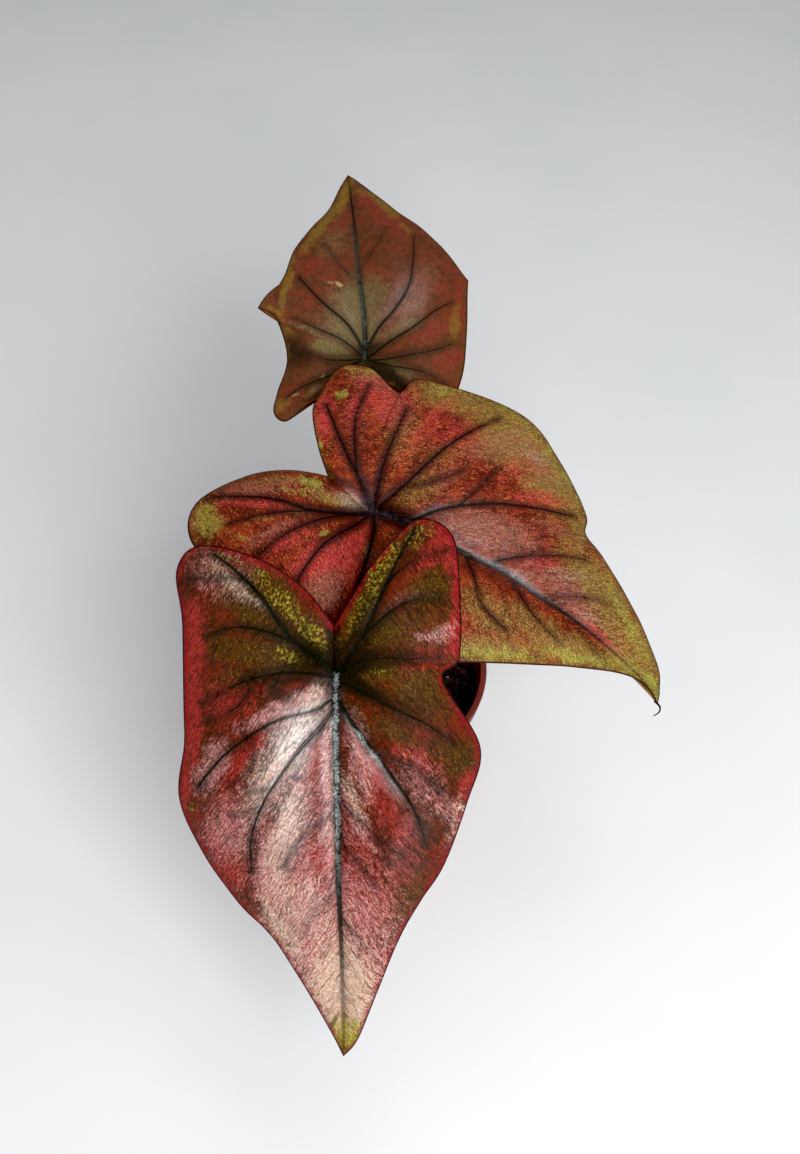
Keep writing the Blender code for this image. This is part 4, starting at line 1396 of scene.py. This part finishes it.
# %% Stalk finish
def stalk_paint():
    finish, bench, shader = new_finish("stalk_paint", {
        "Specular IOR Level": 0.5, "Coat Roughness": 0.3})
    around = bench.attribute("around", "Vector")
    share = bench.attribute("share")
    lift = bench.join(z=share * 5)

    def drawn_out(turns, *grain):
        """Noise that is stretched along the stalk."""
        flat = bench.vector("MULTIPLY", around, (turns, turns, 0.0))
        return bench.grain(bench.vector("ADD", flat, lift), *grain)

    cloud = drawn_out(2.2, 0.8, 3)
    dash = drawn_out(5.0, 1.6, 4, 0.65)
    colour = bench.blend(
        tint(84, 34, 28), (tint(110, 84, 44), (share + (cloud - 0.5)).rise(0.25, 1.0)),
        (tint(46, 18, 20), dash.rise(0.53, 0.66) * 0.75),
        (tint(150, 120, 74), dash.rise(0.44, 0.34) * 0.5))
    feed(bench, shader, {
        "Base Color": colour, "Roughness": 0.42 + dash * 0.18,
        "Coat Weight": 0.15 + cloud * 0.2}, dash * 0.12 + cloud * 0.1)
    return finish


stalk_finish = stalk_paint()
for side, leaf in LEAVES.items():
    path = stalk_path(leaf, STALK_PLACES)
    mesh = grow(f"stalk_{side}", line_mesh(f"stalk_line_{side}", path), stalk_bench, {
        "Foot radius": STALK_BASE_RADIUS * MM, "Top radius": STALK_TOP_RADIUS * MM,
        "Taper": STALK_TAPER, "Flare": 0.5, "Flute": 0.022, "Finish": stalk_finish})
    add_piece(f"stalk_{side}", mesh, stalk_finish, f"leaf_stalk_{side}")

# %% [markdown]
# ## Sheaths
#
# At its foot each stalk is still half wrapped in the dry sheath that it grew out of. A sheath is
# thinner than paper card, clasps the outer side of the stalk, and ends in a torn point. It is a
# small grid with an inner and an outer sheet, whose tip is torn column by column.

# %% Sheath mesh
SHEATH_ROWS = 40
SHEATH_COLUMNS = 36
SHEATH_PATH_PLACES = 400
SHEATH_HALF_ANGLE = radians(105)
SHEATH_NARROWING = 0.92
SHEATH_POINT = 2.2
SHEATH_GAP = 0.45
SHEATH_FLARE = 0.55
SHEATH_CURL = 0.35
SHEATH_SKIN = 0.35
SHEATH_TEAR = 0.11


def build_sheath(name, leaf):
    """A papery half tube on the outer side of a stalk's foot."""
    path = stalk_path(leaf, SHEATH_PATH_PLACES)
    angle = radians(leaf["stalk_angle"])
    seed = leaf["seed"]
    sheets = [[], []]
    for row in range(SHEATH_ROWS):
        for column in range(SHEATH_COLUMNS + 1):
            aside = 2 * column / SHEATH_COLUMNS - 1
            torn = waver(aside * 6, seed, 0.5) + 0.4 * waver(aside * 19, seed, 2.5)
            share = row / (SHEATH_ROWS - 1) * (1 - SHEATH_TEAR * (0.6 + torn) * abs(aside)**0.4)
            level = path[0][2] + leaf["sheath"] * MM * share
            index = int(np.argmin(np.abs(path[:, 2] - level)))
            half = SHEATH_HALF_ANGLE * (1 - SHEATH_NARROWING * share**SHEATH_POINT)
            turn = angle + half * aside
            curl = waver(aside * 2.5, share * 3, seed) * SHEATH_CURL * share
            for sheet, points in enumerate(sheets):
                gap = SHEATH_GAP + SHEATH_FLARE * share + curl + sheet * SHEATH_SKIN
                radius = (stalk_radius(index / (SHEATH_PATH_PLACES - 1)) + gap) * MM
                points.append((path[index][0] + radius * cos(turn),
                               path[index][1] + radius * sin(turn), level))
    rows, columns = SHEATH_ROWS, SHEATH_COLUMNS + 1
    size = rows * columns
    corner = np.arange(size).reshape(rows, columns)
    edge = np.concatenate([corner[0, :-1], corner[:-1, -1], corner[-1, :0:-1], corner[:0:-1, 0]])
    next_on_edge = np.roll(edge, -1)
    faces = np.concatenate([
        grid_faces(0, rows, columns, False), grid_faces(size, rows, columns, True),
        np.stack([edge, next_on_edge, next_on_edge + size, edge + size], -1)])
    mesh = new_mesh(name, sheets[0] + sheets[1], faces.tolist())
    store(mesh, {"share": np.tile(np.repeat(np.linspace(0, 1, rows), columns), 2),
                 "aside": np.tile(np.linspace(-1, 1, columns), rows * 2)})
    return close_mesh(mesh, weld=0, outwards=True)


sheath_meshes = {side: build_sheath(f"sheath_{side}", leaf) for side, leaf in LEAVES.items()}

# %% [markdown]
# ## Sheath finish
#
# A dry sheath is straw brown, streaked along its length, spotted, and darker at its torn point.
# Its own share and aside are its coordinates, so the streaks follow the wrap.

# %% Sheath finish
def sheath_paper():
    finish, bench, shader = new_finish("sheath_paper", {"Specular IOR Level": 0.35})
    share = bench.attribute("share")
    place = bench.join(bench.attribute("aside") * 9, share * 1.2)
    fibre = bench.grain(place, 1.6, 4, 0.6)
    spot = bench.grain(place, 0.5, 3)
    colour = bench.blend(
        tint(150, 112, 78), (tint(196, 164, 122), fibre.rise(0.35, 0.65)),
        (tint(96, 60, 44), spot.rise(0.52, 0.72) * 0.7),
        (tint(92, 62, 44), share.rise(0.82, 1.0) * 0.7))
    feed(bench, shader, {"Base Color": colour, "Roughness": 0.62 + fibre * 0.2}, fibre * 0.25)
    return finish


sheath_finish = sheath_paper()
for side, mesh in sheath_meshes.items():
    add_piece(f"sheath_{side}", mesh, sheath_finish, f"leaf_sheath_{side}")

# %% [markdown]
# ## Tuber
#
# The plant grows from a squat tuber, whose crown just clears the mix. It is turned from the
# construction model's outline, ringed with the scars of old leaves, and pushed in and out by
# noise so that it doesn't look turned.

# %% Tuber
TUBER_OUTLINE = [  # radius and depth below the crown
    (0, 0), (6, -0.15), (10, 0.1), (11, 1), (12.8, 2.6), (14, 4.5), (15.4, 8), (16, 11.8),
    (15.6, 15), (14.5, 17.8), (12.6, 21), (10, 23.5), (5.5, 24.8), (0, 25)]
TUBER_SIDES = 72
TUBER_RINGS = 56
SCAR_HEIGHT = 0.22
SCARS_A_RADIAN = 2.6


def lathe(name, outline, sides, shape=None):
    """A mesh turned about Z from rows of radius and height in millimetres, top first."""
    points = []
    for radius, height in outline:
        for step in range(sides):
            turn = 2 * pi * step / sides
            place = Vector((radius * cos(turn), radius * sin(turn), height))
            points.append(tuple((shape(place) if shape else place) * MM))
    corner = np.arange(len(points)).reshape(len(outline), sides)
    return new_mesh(name, points, ring_faces(corner).tolist())


def tuber_shape(place):
    """Lumps, fine warts and ring scars on the tuber."""
    lump = 0.5 * noise.noise(place * 0.12) + 0.25 * noise.noise(place * 0.45)
    phase = (CROWN_HEIGHT - place.z) * SCARS_A_RADIAN + 2 * noise.noise(place * 0.1)
    flat = Vector((place.x, place.y, 0))
    reach = min(flat.length / 8, 1)
    out = flat.normalized() if flat.length > 0.01 else Vector((0, 0, 0))
    lifted = Vector((0, 0, 0.5 * lump))
    return place + out * (lump + SCAR_HEIGHT * sin(phase)) * reach + lifted * reach


def tuber_skin():
    finish, bench, shader = new_finish("tuber_skin", {"Specular IOR Level": 0.3})
    place = bench.place()
    bark = bench.grain(bench.vector("MULTIPLY", place, (1, 1, 3.0)), 260, 5, 0.6)
    spot = bench.grain(place, 90, 3)
    colour = bench.blend(
        tint(70, 44, 30), (tint(136, 98, 66), bark.rise(0.38, 0.66)),
        (tint(44, 28, 22), spot.rise(0.5, 0.7) * 0.8))
    feed(bench, shader, {"Base Color": colour, "Roughness": 0.75 + bark * 0.2}, bark * 0.5)
    return finish


depths = np.linspace(0, len(TUBER_OUTLINE) - 1, TUBER_RINGS)
outline = smooth_rows(np.array(TUBER_OUTLINE, float), depths)
outline[[0, -1], 0] = 0
outline = [(max(radius, 0), CROWN_HEIGHT - depth) for radius, depth in outline]
tuber = close_mesh(lathe("tuber_body", outline, TUBER_SIDES, tuber_shape))
add_piece("tuber_body", tuber, tuber_skin(), "tuber")

# %% [markdown]
# ## Soil
#
# The pot holds a dark, open mix of peat, bark chips and a little pumice. The root ball itself is
# a turned body that follows the inside of the pot and the pit of the tuber. Only its top shows,
# so that is where it gets fine rings and rough noise. The chips are separate pieces, scattered
# over the top by Geometry Nodes.

# %% Soil body
POT_HEIGHT = 90
MOUTH_RADIUS = 50
BASE_RADIUS = 35
WALL = 1.4
RIM_DEPTH = 9
RIM_STEP = 1.6
FLOOR = 2
GAP = 0.3
SOIL_TOP = 78
SOIL_RISE = 2.5
SOIL_MOUTH_RADIUS = 17
SOIL_SIDES = 180
TUBER_PIT = [(0, 58.6), (10.4, 60.2), (14.9, 66), (16.3, 72), (14.4, 79.2), (15.2, 80.0)]


def wall_radius(height):
    """Outer radius of the pot's tapered wall at a height above its underside."""
    return BASE_RADIUS + (MOUTH_RADIUS - RIM_STEP - BASE_RADIUS) * height / POT_HEIGHT


def soil_radius(height):
    return wall_radius(height) - WALL - GAP


def soil_outline():
    """The root ball from the foot of the tuber's pit, over its top, and down to the floor."""
    edge = soil_radius(SOIL_TOP)
    top = []
    for radius in np.arange(16.2, edge - 1.0, 1.0):
        share = (radius - SOIL_MOUTH_RADIUS) / (edge - SOIL_MOUTH_RADIUS)
        top.append((radius, SOIL_TOP + SOIL_RISE * (1 - max(share, 0)**1.3)))
    side = [(edge - 0.6, SOIL_TOP - 0.2), (edge, SOIL_TOP - 1)]
    side += [(soil_radius(height), height) for height in range(72, 6, -6)]
    foot = soil_radius(FLOOR + 4)
    return TUBER_PIT + top + side + [(foot, 6), (foot - 3.5, 2.3), (0, 2.3)]


def ramp(value, low, high):
    """0 at low, 1 at high, and straight between."""
    return min(max((value - low) / (high - low), 0), 1)


def soil_shape(place):
    """Crumbs and hollows on the top of the mix, clear of the tuber and of the pot."""
    reach = (place.x**2 + place.y**2)**0.5
    top = ramp(place.z, 76.5, 78.0) * ramp(reach, 15.5, 18.5) * ramp(reach, 46.2, 44.2)
    crumb = 1.3 * noise.noise(place * 0.13) + 0.9 * noise.noise(place * 0.4)
    return place + Vector((0, 0, top * (crumb + 0.5 * noise.noise(place * 1.1))))


def soil_finish(name, dark, brown, pale, size):
    finish, bench, shader = new_finish(name, {"Specular IOR Level": 0.25})
    place = bench.place()
    cloud = bench.grain(place, 0.35 * size, 4, 0.6)
    crumb = bench.grain(place, size, 5, 0.7)
    colour = bench.blend(
        tint(*dark), (tint(*brown), cloud.rise(0.42, 0.62)),
        (tint(*pale), crumb.rise(0.6, 0.74) * 0.6))
    feed(bench, shader, {
        "Base Color": colour, "Roughness": 0.8 + crumb * 0.18}, crumb * 0.9 + cloud * 0.5)
    return finish


soil = lathe("soil_mix", soil_outline()[::-1], SOIL_SIDES, soil_shape)
peat = soil_finish("peat", (22, 16, 13), (46, 32, 24), (88, 66, 48), 900)
add_piece("soil_mix", close_mesh(soil, outwards=True), peat, "soil_root_ball")

# %% [markdown]
# ## Bark chips and pumice
#
# A chip starts as a small block of 24 faces that is squashed and dented by noise. The group
# spreads points over a flat ring at the height of the mix, no closer than a spacing, and sets a
# chip on each with its own size and turn. It is run twice: once for bark, once for paler pumice.
# The ring ends well inside the pot's wall, so that no chip comes through it.

# %% Chips
CHIP_RING = [(19, 80.3), (42.7, 78.8)]
CHIP_RING_SIDES = 64
CHIP_TILT = 0.5

chip_bench, given = new_group("chips", {
    "Spacing": "Float", "Density": "Float", "Size": "Float", "Smallest": "Float",
    "Shape": "Vector", "Seed": "Int", "Finish": "Material"})
points = chip_bench.node(
    "GeometryNodeDistributePointsOnFaces", {"distribute_method": "POISSON"}, {
        "Mesh": given["Geometry"], "Distance Min": given["Spacing"],
        "Density Max": given["Density"], "Seed": given["Seed"]})
block = chip_bench.node("GeometryNodeMeshCube", None, {
    "Size": (1.5, 1.5, 1.5), "Vertices X": 3, "Vertices Y": 3, "Vertices Z": 3})
place = chip_bench.node("GeometryNodeInputPosition")
dents = chip_bench.node("ShaderNodeTexNoise", None, {
    "Vector": place, "Scale": 1.3, "Detail": 1.0})
dented = chip_bench.node("ShaderNodeVectorMath", {"operation": "SCALE"}, {
    0: place, "Scale": dents * 1.5 + 0.25})
block = chip_bench.node("GeometryNodeSetPosition", None, {"Geometry": block, "Position": dented})
block = chip_bench.node("GeometryNodeTransform", None, {
    "Geometry": block, "Scale": given["Shape"]})


def chance(low, high, seed_step, kind="FLOAT"):
    """A random number or vector for each point, from the group's own seed."""
    first, second, output = (0, 1, 0) if kind == "FLOAT_VECTOR" else (2, 3, 1)
    return chip_bench.node("FunctionNodeRandomValue", {"data_type": kind}, {
        first: low, second: high, "Seed": given["Seed"] + seed_step}, output)


turn = chip_bench.node("FunctionNodeEulerToRotation", None, {
    0: chance((-CHIP_TILT, -CHIP_TILT, 0.0), (CHIP_TILT, CHIP_TILT, 6.28), 7, "FLOAT_VECTOR")})
size = chance(0.0, 1.0, 13)**2 * (given["Size"] - given["Smallest"]) + given["Smallest"]
chips = chip_bench.node("GeometryNodeInstanceOnPoints", None, {
    "Points": points, "Instance": block, "Rotation": turn, "Scale": size})
end_group(chip_bench, chips, given["Finish"])

bark = soil_finish("bark_chips", (22, 16, 14), (50, 34, 26), (86, 64, 50), 700)
pumice = soil_finish("pumice", (84, 76, 66), (130, 120, 106), (168, 158, 142), 1200)
for name, values in {
    "soil_bark": {
        "Spacing": 2.2 * MM, "Density": 260000.0, "Size": 3.2 * MM, "Smallest": 1.1 * MM,
        "Shape": (1.0, 0.62, 0.34), "Seed": 4, "Finish": bark},
    "soil_pumice": {
        "Spacing": 5.5 * MM, "Density": 60000.0, "Size": 1.9 * MM, "Smallest": 0.6 * MM,
        "Shape": (1.0, 0.85, 0.75), "Seed": 9, "Finish": pumice},
}.items():
    mesh = grow(name, lathe("ring", CHIP_RING, CHIP_RING_SIDES), chip_bench, values)
    add_piece(name, mesh, values["Finish"], "soil_root_ball")
    reach = max(vertex.co.xy.length for vertex in mesh.vertices) / MM
    print(name, "reaches", round(reach, 2), "mm of", round(wall_radius(79) - WALL, 2))

# %% [markdown]
# ## Pot
#
# A thin moulded nursery pot: a tapered wall, a thicker band at the rim with rounded edges, and
# drain holes round the floor. Its shape is one outline turned about Z. A row of the outline holds
# radius, height, and how widely the corner is rounded.

# %% Pot outline
def rounded(corners, steps=6):
    """An outline in which a corner given with a radius is turned into a small curve."""
    out = []
    for k, (x, y, radius) in enumerate(corners):
        here = np.array((x, y), float)
        if radius == 0 or k in (0, len(corners) - 1):
            out.append(here)
            continue
        before = np.array(corners[k - 1][:2], float) - here
        after = np.array(corners[k + 1][:2], float) - here
        start = here + before / np.linalg.norm(before) * radius
        end = here + after / np.linalg.norm(after) * radius
        for share in np.linspace(0, 1, steps):
            out.append((1 - share)**2 * start + 2 * share * (1 - share) * here + share**2 * end)
    return out


def pot_outline():
    """The pot's section from the middle of its floor inside, over the rim, to its underside."""
    foot = POT_HEIGHT - RIM_DEPTH
    inner_rim = wall_radius(POT_HEIGHT) - WALL
    inner_foot = wall_radius(FLOOR) - WALL
    band = wall_radius(foot) + RIM_STEP
    return rounded([
        (0, FLOOR, 0), (inner_foot - 6, FLOOR, 0), (inner_foot, FLOOR, 2.4),
        (wall_radius(30) - WALL, 30, 0), (wall_radius(60) - WALL, 60, 0),
        (inner_rim - 0.1, POT_HEIGHT - 3, 0.5), (inner_rim, POT_HEIGHT, 0.6),
        (MOUTH_RADIUS, POT_HEIGHT, 1.1), (band, foot, 0.7), (wall_radius(foot), foot, 0.5),
        (wall_radius(60), 60, 0), (wall_radius(30), 30, 0), (wall_radius(6), 6, 0.5),
        (BASE_RADIUS - 0.3, 0, 1.6), (BASE_RADIUS - 5, 0, 0.3), (BASE_RADIUS - 5.6, 0.5, 0.3),
        (0, 0.5, 0)])


print("pot outline has", len(pot_outline()), "points")

# %% [markdown]
# ## Turning and boring the pot
#
# Geometry Nodes sweep the outline round a circle, weld it where it meets the axis, and cut the
# ring of drain holes with one Boolean. A profile is swept about the middle of its own plane, so
# the section is set off by the circle's radius of one metre, which brings it back to the axis.

# %% Pot group
POT_SIDES = 160
DRAIN_HOLES = 6
DRAIN_CIRCLE = 23
DRAIN_RADIUS = 3.5
DRILL_SIDES = 32
DRILL_DEPTH = 20
HOOP_RADIUS = 1.0

pot_bench, given = new_group("pot", {
    "Sides": "Int", "Holes": "Int", "Hole circle": "Float", "Hole radius": "Float",
    "Finish": "Material"})
outline = pot_bench.node("GeometryNodeMeshToCurve", None, {"Mesh": given["Geometry"]})
hoop = pot_bench.node("GeometryNodeCurvePrimitiveCircle", None, {
    "Resolution": given["Sides"], "Radius": HOOP_RADIUS})
turned = pot_bench.node("GeometryNodeCurveToMesh", None, {
    "Curve": hoop, "Profile Curve": outline})
shell = pot_bench.node("GeometryNodeMergeByDistance", None, {
    "Geometry": turned, "Distance": 0.00001})
ring = pot_bench.node("GeometryNodeMeshCircle", None, {
    "Vertices": given["Holes"], "Radius": given["Hole circle"]})
drill = pot_bench.node("GeometryNodeMeshCylinder", None, {
    "Vertices": DRILL_SIDES, "Radius": given["Hole radius"], "Depth": DRILL_DEPTH * MM})
drills = pot_bench.node("GeometryNodeInstanceOnPoints", None, {"Points": ring, "Instance": drill})
drills = pot_bench.node("GeometryNodeRealizeInstances", None, {"Geometry": drills})
drills = pot_bench.node("GeometryNodeTransform", None, {
    "Geometry": drills, "Rotation": (0.0, 0.0, pi / DRAIN_HOLES)})
bored = pot_bench.node("GeometryNodeMeshBoolean", {"operation": "DIFFERENCE", "solver": "EXACT"}, {
    "Mesh 1": shell, "Mesh 2": drills})
end_group(pot_bench, bored, given["Finish"])


print("pot group has", len(pot_bench.tree.nodes), "nodes")

# %% [markdown]
# ## Pot finish
#
# The plastic is a matt maroon brown, whose colour wanders a little. Faint hoops run round it from
# the mould, and splashes of mix cling to it near its foot and just under the rim.

# %% Pot finish
def pot_plastic():
    finish, bench, shader = new_finish("pot_plastic", {"Specular IOR Level": 0.5})
    place = bench.place()
    broad = bench.grain(place, 40, 3)
    fine = bench.grain(place, 1500, 2)
    hoops = bench.grain(bench.vector("MULTIPLY", place, (0.02, 0.02, 1.0)), 700, 3)
    height = bench.part(place, 2)
    low = height.rise(0.09, 0.0) * 0.35 + height.rise(0.088, 0.076) * 0.25
    splash = bench.grain(place, 230, 5, 0.7).rise(0.56, 0.68) * low
    colour = bench.blend(
        tint(98, 38, 30), (tint(122, 52, 40), broad.rise(0.35, 0.68)),
        (tint(60, 42, 32), splash), (tint(150, 96, 80), hoops.rise(0.58, 0.75) * 0.25))
    feed(bench, shader, {
        "Base Color": colour, "Roughness": 0.4 + broad * 0.16 + splash * 0.4,
    }, fine * 0.03 + hoops * 0.06)
    return finish


plastic = pot_plastic()
section = [(x * MM - HOOP_RADIUS, -y * MM, 0.0) for x, y in pot_outline()[::-1]]
pot = grow("pot_shell", line_mesh("pot_section", section), pot_bench, {
    "Sides": POT_SIDES, "Holes": DRAIN_HOLES, "Hole circle": DRAIN_CIRCLE * MM,
    "Hole radius": DRAIN_RADIUS * MM, "Finish": plastic})
spread = np.array([vertex.co for vertex in pot.vertices])
print("pot spans", spread.min(0).round(4), spread.max(0).round(4))
add_piece("pot_shell", close_mesh(pot), plastic, "pot")

# %% [markdown]
# ## Floor
#
# The plant stands on a plain pale floor, which is large enough to fill the view behind it. It
# lies a hair below the pot's underside, so the two faces don't fight in the picture.

# %% Floor
FLOOR_REACH = 6.0
FLOOR_DROP = 0.0004

corners = [(FLOOR_REACH * x, FLOOR_REACH * y, -FLOOR_DROP)
           for x, y in ((-1, -1), (1, -1), (1, 1), (-1, 1))]
floor = show("floor", new_mesh("floor", corners, [(0, 1, 2, 3)]))
floor_finish, bench, shader = new_finish("floor_paint", {"Specular IOR Level": 0.2})
mottle = bench.grain(bench.place(), 6, 3)
feed(bench, shader, {
    "Base Color": bench.blend(tint(228, 230, 231), (tint(233, 234, 235), mottle.rise(0.3, 0.7))),
    "Roughness": 0.8 + mottle * 0.1})
floor.data.materials.append(floor_finish)
print("floor laid")

# %% [markdown]
# ## Lamps
#
# The leaves are lit like a room plant by a window. There are four soft lamps: one on the right,
# the strong one in front, which leaves the broad white sheen on the glossy front blade, one over
# the back, and a low one behind on the left. A row says which way round and how high a lamp
# stands, in degrees, how far off it is and how large in metres, and its power in watts.

# %% Lamps
AIM = Vector((0.0, -0.02, 0.18))
LAMPS = {
    "window_right": (-25, 50, 1.1, (0.6, 0.6), 1.6),
    "window_front": (-67, 40, 0.95, (0.55, 0.7), 10.8),
    "over_back": (80, 62, 1.1, (0.6, 0.6), 2.5),
    "low_behind": (165, 18, 1.3, (0.7, 0.5), 1.6),
}
SKY_COLOUR = (0.95, 0.97, 1.0, 1.0)
SKY_STRENGTH = 0.26
BLACK_LEVEL = 0.008

for name, (azimuth, height, distance, size, power) in LAMPS.items():
    lamp = bpy.data.lights.new(name, "AREA")
    lamp.shape = "RECTANGLE"
    lamp.size, lamp.size_y = size
    lamp.energy = power
    holder = show(name, lamp)
    turn, lift = radians(azimuth), radians(height)
    away = Vector((cos(turn) * cos(lift), sin(turn) * cos(lift), sin(lift)))
    holder.location = AIM + away * distance
    holder.rotation_euler = away.to_track_quat("Z", "Y").to_euler()

world = bpy.data.worlds.new("studio")
bpy.context.scene.world = world
world.use_nodes = True
sky = world.node_tree.nodes["Background"]
sky.inputs["Color"].default_value = SKY_COLOUR
sky.inputs["Strength"].default_value = SKY_STRENGTH
view = bpy.context.scene.view_settings
view.view_transform = "Standard"
view.use_curve_mapping = True
view.curve_mapping.black_level = (BLACK_LEVEL, BLACK_LEVEL, BLACK_LEVEL)
view.curve_mapping.update()
print("lamps", list(LAMPS))
